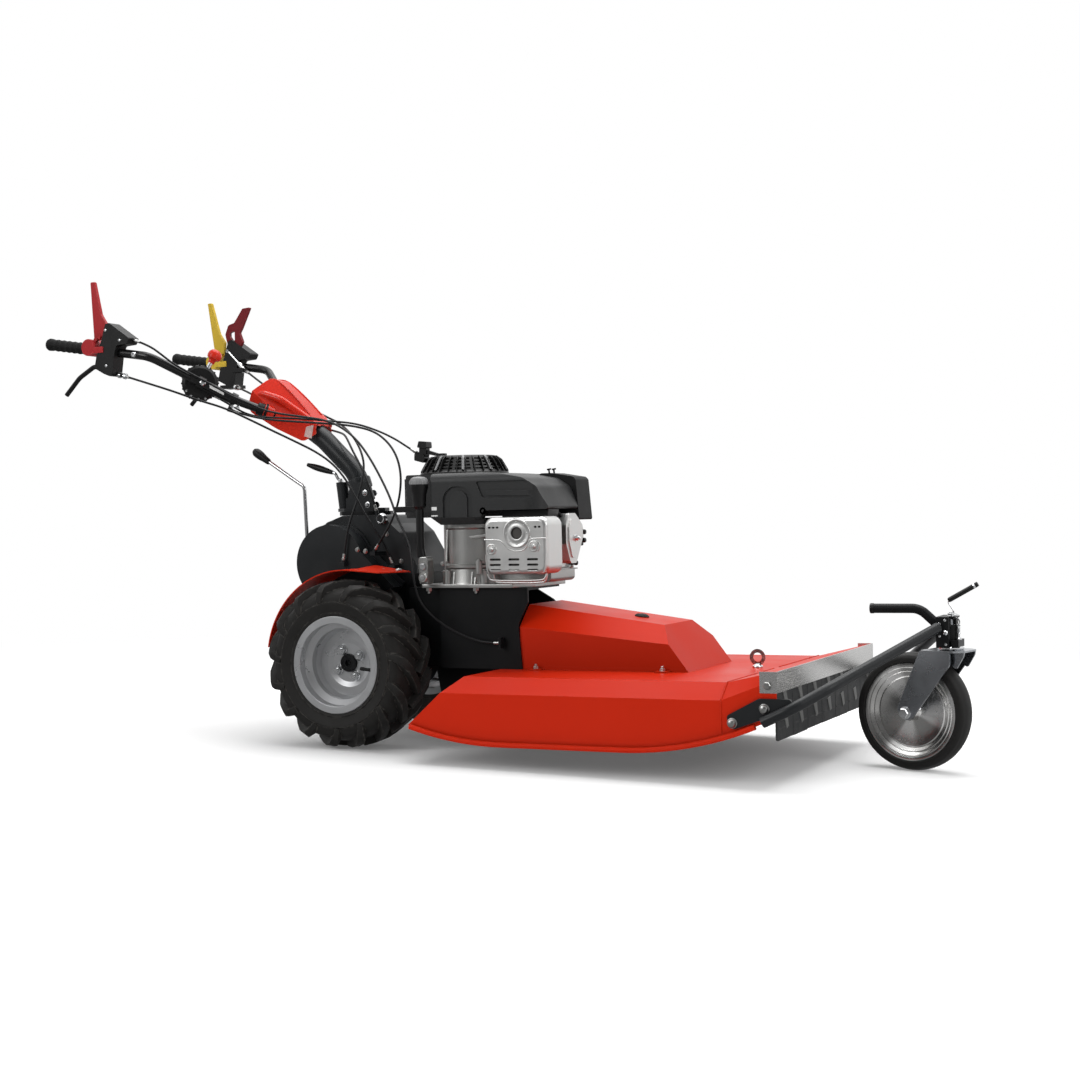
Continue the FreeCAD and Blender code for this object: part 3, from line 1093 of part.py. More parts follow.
NODES = {
    "tyre_right": tyre(-1),
    "tyre_left": tyre(1),
    "rim_right": rim(-1),
    "rim_left": rim(1),
    "hub_right": hub(-1),
    "hub_left": hub(1),
    "rear_axle": rear_axle(),
    "gearbox": gearbox(),
    "drive_housing": drive_housing(),
    "pulley_cover": pulley_cover(),
    "turret": turret(),
    "fender_right": fender(-1),
    "fender_left": fender(1),
    "deck_shell": deck_shell(),
    "skid_rails": skid_rails(),
    "belt_cover": belt_cover(),
    "cover_cap": cover_cap(),
    "front_plate": front_plate(),
    "rubber_flaps": rubber_flaps(),
    "lifting_eye": lifting_eye(),
    "spindle_housing": spindle_housing(),
    "rotor": rotor(),
    "engine_support": engine_support(),
    "engine_crankcase": engine_crankcase(),
    "valve_cover": valve_cover(),
    "engine_shroud": engine_shroud(),
    "fuel_tank": fuel_tank(),
    "recoil_starter": recoil_starter(),
    "starter_grip": starter_grip(),
    "oil_filler": oil_filler(),
    "muffler": muffler(),
    "muffler_guard": muffler_guard(),
    "air_cleaner": air_cleaner(),
    "castor_arm_right": castor_arm(-1),
    "castor_arm_left": castor_arm(1),
    "castor_head": castor_head(),
    "castor_lock": castor_lock(),
    "castor_fork": castor_fork(),
    "castor_tyre": castor_tyre(),
    "castor_disc": castor_disc(),
    "mast": mast(),
    "mast_bracket": mast_bracket(),
    "swing_lock": swing_lock(),
    "handlebar_right": handlebar(-1),
    "handlebar_left": handlebar(1),
    "grips": together(grip(-1), grip(1)),
    "console_cover": console_cover(),
    "lever_mounts": together(lever_mount(-1), lever_mount(1)),
    "clutch_lever_right": clutch_lever(-1),
    "clutch_lever_left": clutch_lever(1),
    "brake_levers": together(brake_lever(-1), brake_lever(1)),
    "dead_man_lever": dead_man_lever(),
    "throttle_quadrant": throttle_quadrant(),
    "gear_lever": gear_lever(),
    "cable_throttle": cable("cable_throttle", THROTTLE_ROUTE, THIN_CABLE),
    "cable_drive": cable("cable_drive", DRIVE_ROUTE, CABLE),
    "cable_blade": cable("cable_blade", BLADE_ROUTE, CABLE),
    "cable_reverse": cable("cable_reverse", REVERSE_ROUTE, CABLE),
    "cable_brake_left": cable("cable_brake_left", LEFT_BRAKE_ROUTE, CABLE),
    "cable_brake_right": cable("cable_brake_right", RIGHT_BRAKE_ROUTE, CABLE),
}


def stance():
    """How far the machine leans back for its castor to reach the ground, in degrees."""
    wheel = castor_point(CASTOR_TRAIL, 0, CASTOR_AXLE_Z)
    ahead, above = wheel.x, CASTOR_AXLE_Z - TYRE_R
    drop = CASTOR_R - TYRE_R
    return math.degrees(math.asin(drop / math.hypot(ahead, above)) - math.atan2(above, ahead))


os.makedirs("parts", exist_ok=True)
lean = stance()
print("stance, degrees:", round(lean, 4))
for name, shape in NODES.items():
    placed = shape.copy()
    placed.rotate(V(0, 0, TYRE_R), LEFT, -lean)
    placed.translate(V(-ORIGIN_X, 0, 0))
    placed.exportStep("parts/" + name + ".step")
    box = placed.BoundBox
    corners = [round(v) for v in (box.XMin, box.XMax, box.YMin, box.YMax, box.ZMin, box.ZMax)]
    print(name, len(placed.Solids), round(placed.Volume), placed.isValid(), corners)
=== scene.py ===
from math import cos, pi, radians, sin

import bmesh
import bpy
from mathutils import Matrix, Vector, noise


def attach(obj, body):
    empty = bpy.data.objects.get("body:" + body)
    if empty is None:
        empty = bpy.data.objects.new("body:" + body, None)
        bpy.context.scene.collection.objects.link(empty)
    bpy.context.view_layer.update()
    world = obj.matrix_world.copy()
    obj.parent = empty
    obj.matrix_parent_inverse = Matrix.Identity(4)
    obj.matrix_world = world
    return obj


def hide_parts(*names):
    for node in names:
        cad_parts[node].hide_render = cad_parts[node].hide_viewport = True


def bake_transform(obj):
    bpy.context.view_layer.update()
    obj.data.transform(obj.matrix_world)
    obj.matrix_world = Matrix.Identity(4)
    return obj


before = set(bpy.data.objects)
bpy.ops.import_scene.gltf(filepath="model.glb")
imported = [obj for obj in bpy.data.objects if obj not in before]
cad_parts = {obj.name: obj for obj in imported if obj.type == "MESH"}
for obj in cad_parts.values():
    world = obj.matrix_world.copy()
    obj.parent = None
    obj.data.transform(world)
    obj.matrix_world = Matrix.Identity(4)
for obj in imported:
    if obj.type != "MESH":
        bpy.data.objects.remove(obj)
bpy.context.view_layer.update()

# ---------------------------------------------------------------- how the machine stands
# The mower is drawn in millimetres on its own axes, from the ground under the drive
# axle. Its castor is smaller than its drive wheels, so it stands leaning back a little.
AXLE_HEIGHT = 202
LEAN = radians(1.49104)
AXLE_BEHIND_MIDDLE = 280
MILLIMETRE = 0.001
standing = (
    Matrix.Scale(MILLIMETRE, 4)
    @ Matrix.Translation((-AXLE_BEHIND_MIDDLE, 0, AXLE_HEIGHT))
    @ Matrix.Rotation(-LEAN, 4, "Y")
    @ Matrix.Translation((0, 0, -AXLE_HEIGHT))
)

# ---------------------------------------------------------------- camera
# A long lens a little above the deck, on the machine's right and ahead of it.
CAMERA_PLACE = (1.9145, -3.7209, 0.6032)
CAMERA_TURN = radians(25.72)
CAMERA_DIP = radians(1.48)
LENS = 57.03
FILM_WIDTH = 36
camera = bpy.data.objects.new("camera", bpy.data.cameras.new("camera"))
camera.data.sensor_width = FILM_WIDTH
camera.data.lens = LENS
camera.location = CAMERA_PLACE
looking = Vector((
    -sin(CAMERA_TURN) * cos(CAMERA_DIP), cos(CAMERA_TURN) * cos(CAMERA_DIP), -sin(CAMERA_DIP),
))
camera.rotation_euler = looking.to_track_quat("-Z", "Y").to_euler()
bpy.context.scene.collection.objects.link(camera)
bpy.context.scene.camera = camera

# ---------------------------------------------------------------- studio
# A pale floor that runs into a white sweep, a wide soft lamp overhead, a smaller one
# behind the camera and one ahead, and a room that is dimmer on the camera's side.
FLOOR_SIZE = 60
FLOOR_PAINT = (0.86, 0.86, 0.86, 1)
WHITE = (1, 1, 1, 1)
MACHINE_SHAPE = (0.6, 1.0, 1.0)
# Each pair of places, in metres or as a turn to the back wall, has its pair of lights.
AROUND_MACHINE, GLOW_DIMMED_AS_SHADE = (0.30, 1.00), (0.10, 0.46)
SWEEP_PLACE, SWEEP_SHARE = (1.5, 3.4), (0.0, 1.0)
AHEAD_PLACE, MIRRORED_LIGHT = (0.7, 1.7), (0.24, 0.72)
BACK_WALL = (-0.35, 0.85, 0.39)
WALL_PLACE, WALL_LIGHT = (-0.55, 0.25), (0.16, 1.0)
ROOM_LIGHT = 0.42
bpy.context.scene.view_settings.view_transform = "Standard"


def feed(tree, socket, value):
    """Gives a shader socket a plain value or the output of another node."""
    if isinstance(value, bpy.types.NodeSocket):
        tree.links.new(value, socket)
    else:
        socket.default_value = value


def node(tree, kind, *fed, **named):
    """Adds a shader node and feeds its sockets in order, and its settings and sockets by name."""
    added = tree.nodes.new("ShaderNode" + kind)
    for name, value in named.items():
        if name in added.inputs:
            feed(tree, added.inputs[name], value)
        else:
            setattr(added, name, value)
    for socket, value in zip(added.inputs, fed):
        feed(tree, socket, value)
    return added


def maths(tree, operation, *fed):
    return node(tree, "Math", *fed, operation=operation).outputs[0]


def distance(tree, place):
    """How far a place is from the middle."""
    return node(tree, "VectorMath", place, operation="LENGTH").outputs["Value"]


def soft_step(tree, value, places, results):
    """Goes softly from the first result to the second while the value goes between its places."""
    return node(tree, "MapRange", value, *places, *results, interpolation_type="SMOOTHSTEP").outputs[0]


def white_to_the_eye(tree):
    """The light's path, and 1 for rays from the camera, off a gloss or through glass."""
    path = node(tree, "LightPath")
    shiny = maths(tree, "MAXIMUM", path.outputs["Is Camera Ray"], path.outputs["Is Glossy Ray"])
    return path, maths(tree, "MAXIMUM", shiny, path.outputs["Is Transmission Ray"])


floor_mesh = bmesh.new()
bmesh.ops.create_grid(floor_mesh, x_segments=6, y_segments=6, size=FLOOR_SIZE / 2)
floor_data = bpy.data.meshes.new("floor")
floor_mesh.to_mesh(floor_data)
floor = bpy.data.objects.new("floor", floor_data)
bpy.context.scene.collection.objects.link(floor)
floor_paint = bpy.data.materials.new("floor_white")
floor_paint.use_nodes = True
tree = floor_paint.node_tree
tree.nodes.clear()
path, seen = white_to_the_eye(tree)
place = node(tree, "TexCoord").outputs["Object"]
ahead = node(tree, "SeparateXYZ", place).outputs["X"]
round_machine = node(tree, "VectorMath", place, MACHINE_SHAPE, operation="MULTIPLY").outputs[0]
# The floor's glow is turned down near the machine: painted shade that deepens the shadow under it.
around = soft_step(tree, distance(tree, round_machine), AROUND_MACHINE, GLOW_DIMMED_AS_SHADE)
lift = maths(tree, "MULTIPLY", seen, around)
near = node(tree, "AddShader", node(tree, "BsdfDiffuse", FLOOR_PAINT).outputs[0],
            node(tree, "Emission", WHITE, lift).outputs[0])
far_share = maths(tree, "MULTIPLY", soft_step(tree, distance(tree, place), SWEEP_PLACE, SWEEP_SHARE), seen)
sweep = node(tree, "MixShader", far_share, near.outputs[0], node(tree, "Emission", WHITE, 1.0).outputs[0])
glow = node(tree, "Emission", WHITE, soft_step(tree, ahead, AHEAD_PLACE, MIRRORED_LIGHT))
dimmed = node(tree, "MixShader", path.outputs["Is Glossy Ray"], sweep.outputs[0], glow.outputs[0])
node(tree, "OutputMaterial", dimmed.outputs[0])
floor.data.materials.append(floor_paint)

room = bpy.data.worlds.new("room")
bpy.context.scene.world = room
room.use_nodes = True
tree = room.node_tree
tree.nodes.clear()
path, seen = white_to_the_eye(tree)
backwards = node(tree, "VectorMath", node(tree, "TexCoord").outputs["Generated"], BACK_WALL,
                 operation="DOT_PRODUCT").outputs["Value"]
walls = soft_step(tree, backwards, WALL_PLACE, WALL_LIGHT)
lit = node(tree, "Mix", data_type="FLOAT", Factor=seen, A=ROOM_LIGHT, B=walls).outputs[0]
to_eye = node(tree, "Mix", data_type="FLOAT", Factor=path.outputs["Is Camera Ray"], A=lit, B=1.0).outputs[0]
node(tree, "OutputWorld", node(tree, "Background", WHITE, to_eye).outputs[0])

for lamp, place, aim, width, depth, watts in (
    ("lamp_overhead", (0.1, 0.5, 3.2), (0.1, 0.0, 0.4), 3.6, 2.4, 92),
    ("lamp_camera_side", (-2.4, -4.2, 2.6), (0.0, 0.0, 0.4), 2.2, 2.2, 60),
    ("lamp_front", (3.6, -1.2, 1.9), (0.2, 0.0, 0.4), 1.6, 1.6, 26),
):
    light = bpy.data.lights.new(lamp, "AREA")
    light.shape = "RECTANGLE"
    light.size = width
    light.size_y = depth
    light.energy = watts
    hung = bpy.data.objects.new(lamp, light)
    hung.location = place
    hung.rotation_euler = (Vector(aim) - Vector(place)).to_track_quat("-Z", "Y").to_euler()
    bpy.context.scene.collection.objects.link(hung)

# ---------------------------------------------------------------- control cables
# Six Bowden cables in black sheaths from the levers down to the engine and gearbox, free
# between their ends. Each end sits in a crimped ferrule behind a threaded adjuster.
SHEATH = 5.5
THIN_SHEATH = 5.0


def shared_effect(name, inputs, outputs):
    """A new shader node group with named number sockets; returns it with its two end nodes."""
    group = bpy.data.node_groups.new(name, "ShaderNodeTree")
    for label, start in inputs:
        socket = group.interface.new_socket(label, in_out="INPUT", socket_type="NodeSocketFloat")
        socket.default_value = start
    for label in outputs:
        group.interface.new_socket(label, in_out="OUTPUT", socket_type="NodeSocketFloat")
    return group, group.nodes.new("NodeGroupInput"), group.nodes.new("NodeGroupOutput")


# Grain: a fine and a broad cloudy value over the surface.
grain, into, out_of = shared_effect("grain", [("Fine Scale", 400), ("Broad Scale", 12)], ["Fine", "Broad"])
on_piece = node(grain, "TexCoord").outputs["Object"]
for label, detail, roughness in (("Fine", 3.0, 0.6), ("Broad", 4.0, 0.55)):
    clouds = node(grain, "TexNoise", Vector=on_piece, Scale=into.outputs[label + " Scale"], Detail=detail,
                  Roughness=roughness)
    feed(grain, out_of.inputs[label], clouds.outputs["Fac"])

# Worn edges: a broken line along the sharp edges, where the finish is thin or rubbed.
edges, into, out_of = shared_effect("worn_edges", [("Width", 0.002), ("Break Up", 90)], ["Edge"])
rounded_off = node(edges, "Bevel", into.outputs["Width"], samples=4).outputs["Normal"]
turn = node(edges, "VectorMath", rounded_off, node(edges, "NewGeometry").outputs["Normal"],
            operation="DOT_PRODUCT").outputs["Value"]
patches = node(edges, "TexNoise", Vector=node(edges, "TexCoord").outputs["Object"],
               Scale=into.outputs["Break Up"], Detail=3.0).outputs["Fac"]
broken = node(edges, "MapRange", patches, 0.42, 0.62, 0.0, 1.0).outputs[0]
sharp_line = maths(edges, "MULTIPLY", soft_step(edges, turn, (0.995, 0.90), (0.0, 1.0)), broken)
feed(edges, out_of.inputs["Edge"], sharp_line)


def two_tones(tree, colour, tone, mask):
    """A colour that goes from darker to lighter over a mask."""
    dark, light = [(*[min(1.0, part * factor) for part in colour], 1) for factor in (1 - tone, 1 + tone)]
    return node(tree, "Mix", data_type="RGBA", Factor=mask, A=dark, B=light).outputs["Result"]


def uneven_gloss(tree, rough, change, mask):
    return node(tree, "MapRange", mask, 0.3, 0.7, rough - change, rough + change).outputs[0]


def surface(name, colour, rough, tone, relief, metal=0.0, fine=400, broad=12, depth=0.0003, worn=None,
            wear=0.5, width=0.0015, rough_change=0.08, mirror=0.5):
    """A finish: cloudy colour, a rubbed tone on the edges, uneven gloss and a fine relief."""
    look = bpy.data.materials.new(name)
    look.use_nodes = True
    tree = look.node_tree
    clouds = node(tree, "Group", fine, broad, node_tree=grain)
    shown = two_tones(tree, colour, tone, clouds.outputs["Broad"])
    if worn:
        rubbed = node(tree, "Group", width, node_tree=edges).outputs["Edge"]
        shown = node(tree, "Mix", data_type="RGBA", Factor=maths(tree, "MULTIPLY", rubbed, wear), A=shown,
                     B=(*worn, 1)).outputs["Result"]
    bumps = node(tree, "Bump", Strength=relief, Distance=depth, Height=clouds.outputs["Fine"])
    for label, value in (
        ("Base Color", shown), ("Metallic", metal), ("Specular IOR Level", mirror),
        ("Roughness", uneven_gloss(tree, rough, rough_change, clouds.outputs["Broad"])),
        ("Normal", bumps.outputs["Normal"]),
    ):
        feed(tree, tree.nodes["Principled BSDF"].inputs[label], value)
    return look


def made(bm, name, body, look, sharp=32):
    """Finishes a piece drawn in millimetres: closed, facing out, in its place, riding on its body."""
    bmesh.ops.remove_doubles(bm, verts=bm.verts, dist=0.005)
    bmesh.ops.recalc_face_normals(bm, faces=bm.faces)
    bm.transform(standing)
    mesh = bpy.data.meshes.new(name)
    bm.to_mesh(mesh)
    bm.free()
    mesh.polygons.foreach_set("use_smooth", [True] * len(mesh.polygons))
    mesh.set_sharp_from_angle(angle=radians(sharp))
    mesh.materials.append(look)
    piece = bpy.data.objects.new(name, mesh)
    bpy.context.scene.collection.objects.link(piece)
    piece.modifiers.new("even_shading", "WEIGHTED_NORMAL").keep_sharp = True
    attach(piece, body)
    return piece


def facing(at, out):
    """Axes at a point with their Z along a direction."""
    return Matrix.Translation(at) @ Vector(out).to_track_quat("Z", "Y").to_matrix().to_4x4()


def turned(bm, outline, at, out, steps):
    """A turned piece from an outline of (radius, distance along its axis)."""
    axes = facing(at, out)
    corners = [bm.verts.new(axes @ Vector((r, 0, s))) for r, s in outline]
    lines = [bm.edges.new(pair) for pair in zip(corners, corners[1:])]
    axis = axes.to_3x3() @ Vector((0, 0, 1))
    bmesh.ops.spin(bm, geom=corners + lines, cent=Vector(at), axis=axis, angle=2 * pi, steps=steps,
                   use_merge=True)


def bent_line(name, points, resolution):
    """A curve that follows its points and reaches the first and the last."""
    line = bpy.data.curves.new(name, "CURVE")
    line.dimensions = "3D"
    line.resolution_u = resolution
    line.use_fill_caps = True
    spline = line.splines.new("NURBS")
    spline.points.add(len(points) - 1)
    for point, corner in zip(spline.points, points):
        point.co = (*corner, 1)
    spline.order_u = 3
    spline.use_endpoint_u = True
    return bpy.data.objects.new(name, line)


cable_black = surface("cable_sheath", (0.008, 0.008, 0.009), 0.42, tone=0.25, fine=900, relief=0.12,
                      mirror=0.3)
zinc = surface("zinc_bolts", (0.46, 0.46, 0.45), 0.32, metal=1.0, tone=0.22, fine=700, broad=60,
               relief=0.15, worn=(0.7, 0.7, 0.68), width=0.0006)
cables = {
    "throttle": (THIN_SHEATH, 583, (-126, -70, 794), (74, -49, 723), [
        (-440, -133, 870), (-406, -113, 846), (-368, -97, 821), (-322, -91, 812), (-263, -84, 808),
        (-196, -76, 802), (-126, -70, 794), (-58, -66, 785), (2, -60, 764), (44, -54, 743),
        (74, -49, 723), (97, -45, 708),
    ]),
    "drive": (SHEATH, 755, (-134, -80, 788), (85, -102, 664), [
        (-394, -120, 830), (-347, -104, 813), (-281, -94, 802), (-208, -86, 795), (-134, -80, 788),
        (-65, -78, 780), (-1, -80, 764), (42, -86, 735), (70, -94, 701), (85, -102, 664),
        (90, -110, 625), (84, -116, 579), (62, -117, 533), (34, -116, 495), (14, -110, 472),
    ]),
    "blade": (SHEATH, 1372, (-126, -94, 795), (76, -138, 596), [
        (-586, -262, 1011), (-546, -257, 996), (-515, -246, 971), (-494, -230, 949), (-454, -201, 920),
        (-418, -172, 895), (-380, -144, 866), (-345, -118, 847), (-314, -103, 830), (-262, -98, 817),
        (-195, -98, 807), (-126, -94, 795), (-76, -96, 771), (-35, -101, 740), (4, -110, 696),
        (41, -122, 646), (76, -138, 596), (108, -160, 542), (150, -182, 494), (173, -207, 447),
        (178, -212, 395), (189, -204, 345), (221, -190, 306), (260, -174, 277), (305, -164, 257),
        (343, -161, 249), (377, -161, 249),
    ]),
    "reverse": (SHEATH, 956, (-148, 24, 780), (-46, -96, 588), [
        (-590, 222, 964), (-534, 186, 938), (-474, 146, 912), (-412, 108, 892), (-350, 92, 866),
        (-294, 88, 840), (-240, 80, 816), (-190, 62, 797), (-148, 24, 780), (-110, -14, 764),
        (-76, -42, 742), (-50, -60, 712), (-37, -70, 678), (-38, -82, 636), (-46, -96, 588),
        (-56, -116, 540), (-66, -120, 492), (-73, -121, 446),
    ]),
    "brake_left": (SHEATH, 791, (-146, 14, 764), (-24, -60, 606), [
        (-600, 194, 918), (-540, 160, 900), (-474, 126, 872), (-408, 104, 838), (-348, 92, 812),
        (-288, 86, 796), (-232, 74, 783), (-184, 54, 772), (-146, 14, 764), (-114, -22, 748),
        (-86, -44, 718), (-60, -54, 684), (-38, -60, 646), (-24, -60, 606), (-14, -56, 566),
    ]),
    "brake_right": (SHEATH, 896, (-205, -120, 744), (-18, -108, 562), [
        (-628, -256, 924), (-562, -250, 903), (-497, -236, 881), (-432, -214, 855), (-370, -190, 834),
        (-316, -162, 804), (-262, -140, 774), (-205, -120, 744), (-150, -110, 716), (-105, -106, 685),
        (-70, -108, 648), (-42, -111, 606), (-18, -108, 562), (8, -101, 520), (32, -94, 480),
        (47, -88, 436),
    ]),
}
for use, (diameter, length, moving_end, fixed_end, route) in cables.items():
    for body, tip, before in (("handlebar", route[0], route[1]), ("chassis", route[-1], route[-2])):
        tip = Vector(tip)
        inward = (Vector(before) - tip).normalized()
        bm = bmesh.new()
        r = diameter / 2
        turned(bm, [(0, 0.4), (r + 1.6, 0.4), (r + 1.6, 6), (r + 0.9, 6.6), (r + 0.9, 15), (r + 0.4, 16),
                    (r + 0.1, 16)], tip, inward, 16)
        made(bm, f"ferrule_{use}_{body}", body, zinc)
    drawn_line = bent_line("route_" + use, [standing @ Vector(corner) for corner in route], 10)
    followed = [v.co.copy() for v in bpy.data.meshes.new_from_object(drawn_line).vertices]
    drawn_line.data.bevel_depth = diameter / 2 * MILLIMETRE
    drawn_line.data.bevel_resolution = 4
    tube = bpy.data.meshes.new_from_object(drawn_line)
    bpy.data.objects.remove(drawn_line)
    tube.materials.clear()
    tube.materials.append(cable_black)
    sheath = bpy.data.objects.new("sheath_" + use, tube)
    bpy.context.scene.collection.objects.link(sheath)
    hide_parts("cable_" + use)
    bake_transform(sheath)

# ---------------------------------------------------------------- tractor tyres
# Moulded rubber with fifteen curved lugs a side that meet in steps along the middle. The
# sidewall has a bead ring over the rim and a raised line where the lugs run out.
TRACK = 441
LUGS = 15
FOOT_SPREAD = 3
LEFT = (0, 1, 0)
sidewall = [
    (103, 58), (104, 62), (112, 63.5), (119, 65.5), (123, 66.5), (125, 64.5), (133, 67), (141, 69.5),
    (146, 71.2), (149, 71.2), (151, 68.8), (158, 68.4), (166, 66.5), (173, 61), (179, 50), (183, 34),
    (184.5, 12),
]
lug_line = [  # degrees ahead, radius, off the middle plane, tilt to the side, half width, depth
    (-2.5, 151, 72.6, 90, 5.5, 5), (-1.5, 163, 72.8, 86, 7, 8), (0.5, 178, 71.4, 62, 8.5, 13),
    (3, 190.5, 64.7, 36, 9.5, 18), (8, 197.3, 47, 12, 9.5, 19), (15.5, 200.4, 23, 4, 9.5, 19),
    (25, 201.8, -4, 0, 9, 19),
]
tread_rubber = surface("tread_rubber", (0.016, 0.0152, 0.0143), 0.62, tone=0.35, fine=1100, broad=22,
                       relief=0.4, depth=0.0005, worn=(0.075, 0.070, 0.063), wear=0.8, width=0.004,
                       rough_change=0.1, mirror=0.2)


def lug(bm, line):
    """One lug, lofted over the tread from its line, with its upper edges rounded."""
    tops = []
    for degrees, radius, off, tilt, half, depth in line:
        ahead = Matrix.Rotation(radians(degrees), 3, "Y")
        out = ahead @ Vector((0, sin(radians(tilt)), cos(radians(tilt))))
        tops.append((ahead @ Vector((0, off, radius)), out, half, depth))
    rings = []
    for k, (top, out, half, depth) in enumerate(tops):
        along = tops[min(k + 1, len(tops) - 1)][0] - tops[max(k - 1, 0)][0]
        across = out.cross(along).normalized()
        wide = across * (half + FOOT_SPREAD)
        corners = (top + across * half, top - across * half, top - wide - out * depth,
                   top + wide - out * depth)
        ring = [bm.verts.new(corner) for corner in corners]
        rings.append([bm.edges.new((ring[n], ring[(n + 1) % 4])) for n in range(4)])
        if k in (0, len(tops) - 1):
            bm.faces.new(ring)
    crest = {rings[0][0], rings[-1][0]}
    for near, far in zip(rings, rings[1:]):
        bmesh.ops.bridge_loops(bm, edges=near + far)
    for near, far in zip(rings, rings[1:]):
        crest |= {e for v in near[0].verts for e in v.link_edges if e.other_vert(v) in far[0].verts}
    bmesh.ops.bevel(bm, geom=list(crest), offset=2.2, segments=2, profile=0.5, affect="EDGES", material=-1)


WHEELS = ((-1, "right"), (1, "left"))
for side, wheel in WHEELS:
    bm = bmesh.new()
    lug(bm, lug_line)
    one = list(bm.verts) + list(bm.edges) + list(bm.faces)
    for k in range(2 * LUGS):
        copied = bmesh.ops.duplicate(bm, geom=one)["geom"]
        corners = [v for v in copied if isinstance(v, bmesh.types.BMVert)]
        if k % 2:
            bmesh.ops.scale(bm, vec=(1, -1, 1), verts=corners)
        place = Matrix.Rotation(radians(180 / LUGS * k), 3, "Y")
        bmesh.ops.rotate(bm, cent=(0, 0, 0), matrix=place, verts=corners)
    bmesh.ops.delete(bm, geom=[v for v in one if isinstance(v, bmesh.types.BMVert)], context="VERTS")
    across = [(r, -s) for r, s in sidewall] + [(r, s) for r, s in reversed(sidewall)]
    turned(bm, across + across[:1], (0, 0, 0), LEFT, 90)
    bmesh.ops.translate(bm, vec=(0, side * TRACK / 2, AXLE_HEIGHT), verts=bm.verts)
    tyre = made(bm, "lugged_tyre_" + wheel, "wheel_" + wheel, tread_rubber, 40)
    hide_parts("tyre_" + wheel)

# ---------------------------------------------------------------- rims, hubs and nuts
# Pressed steel rims painted silver, with a rubber valve in the well. The cast hub is black
# and open at its end, and four flanged nuts on studs hold the rim's disc to it.
STUD_CIRCLE = 35
FLANGE_NUT = 18.5
VALVE_OUT = (86.5, 40, -13)


def finish(look, *names):
    """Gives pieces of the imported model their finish."""
    for name in names:
        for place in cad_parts[name].material_slots:
            place.material = look


def hexagon(bm, at, out, across, height, start=0.0):
    """A chamfered hexagon head or nut."""
    r = across / 2 / cos(pi / 6)
    top = start + height
    turned(bm, [(0, start), (r, start), (r, start + height * 0.82), (r * 0.87, top), (0, top)], at, out, 6)


def bolt(bm, at, out, size, thread=0.0):
    """A hexagon bolt head on its washer, or a nut when its thread stands out of it."""
    rim = size * 1.05
    washer = size * 0.18
    turned(bm, [(0, -0.2), (rim, -0.2), (rim, washer * 0.8), (size, washer), (0, washer)], at, out, 24)
    hexagon(bm, at, out, size * 1.55, size * 0.68, washer)
    top = washer + size * 0.68
    if thread:
        r = size / 2
        turned(bm, [(0, top - 0.5), (r, top - 0.5), (r, top + thread - 0.8), (r - 0.8, top + thread),
                    (0, top + thread)], at, out, 16)


silver_paint = surface("silver_rim_paint", (0.44, 0.445, 0.455), 0.32, metal=0.6, tone=0.06, fine=1500,
                       relief=0.06, worn=(0.5, 0.5, 0.5), wear=0.3)
black_coat = surface("black_powder_coat", (0.0065, 0.0068, 0.0075), 0.42, tone=0.15, fine=1300, relief=0.12,
                     worn=(0.05, 0.05, 0.052), wear=0.45, width=0.0018, mirror=0.2)
rubber_smooth = surface("valve_rubber", (0.010, 0.010, 0.010), 0.55, tone=0.2, relief=0.1, mirror=0.25)
bright_zinc = surface("bright_zinc", (0.74, 0.75, 0.76), 0.2, metal=1.0, tone=0.06, fine=600, broad=35,
                      relief=0.05, rough_change=0.06)
finish(silver_paint, "rim_right", "rim_left")
for side, wheel in WHEELS:
    centre = Vector((0, side * TRACK / 2, AXLE_HEIGHT))
    out = Vector((0, side, 0))
    bm = bmesh.new()
    turned(bm, [(0, 1), (2.5, 1), (3, -1), (8, -1), (8, 5), (9, 6.5), (15, 6.5), (15.6, 8), (20, 8),
                (21.6, 6.4), (21.6, -4.4), (52, -4.4), (52, -13), (27, -13), (27, -44), (15.2, -44),
                (15.2, -6.5), (0, -6.5)], centre, out, 40)
    hub = made(bm, "bored_hub_" + wheel, "wheel_" + wheel, black_coat)
    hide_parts("hub_" + wheel)
    bm = bmesh.new()
    for k in range(4):
        turn = radians(30 + 90 * k)
        stud = centre + Vector((STUD_CIRCLE * cos(turn), 0, STUD_CIRCLE * sin(turn)))
        turned(bm, [(0, 0.4), (12.5, 0.4), (12.5, 1.8), (10.5, 3.4), (0, 3.4)], stud, out, 24)
        hexagon(bm, stud, out, FLANGE_NUT, 8.6, 2.6)
        turned(bm, [(0, 9), (5, 9), (5, 14.4), (4, 15.4), (0, 15.4)], stud, out, 16)
    made(bm, "wheel_nuts_" + wheel, "wheel_" + wheel, bright_zinc)
    bm = bmesh.new()
    valve = centre + Vector((VALVE_OUT[0], side * VALVE_OUT[1], VALVE_OUT[2]))
    turned(bm, [(0, -1), (6.5, -1), (6.5, 1.5), (4.2, 5), (4.0, 21), (4.6, 22), (4.6, 30), (3.8, 31.5),
                (0, 31.5)], valve, (-1, 0, 0.1), 20)
    made(bm, "valve_" + wheel, "wheel_" + wheel, rubber_smooth)

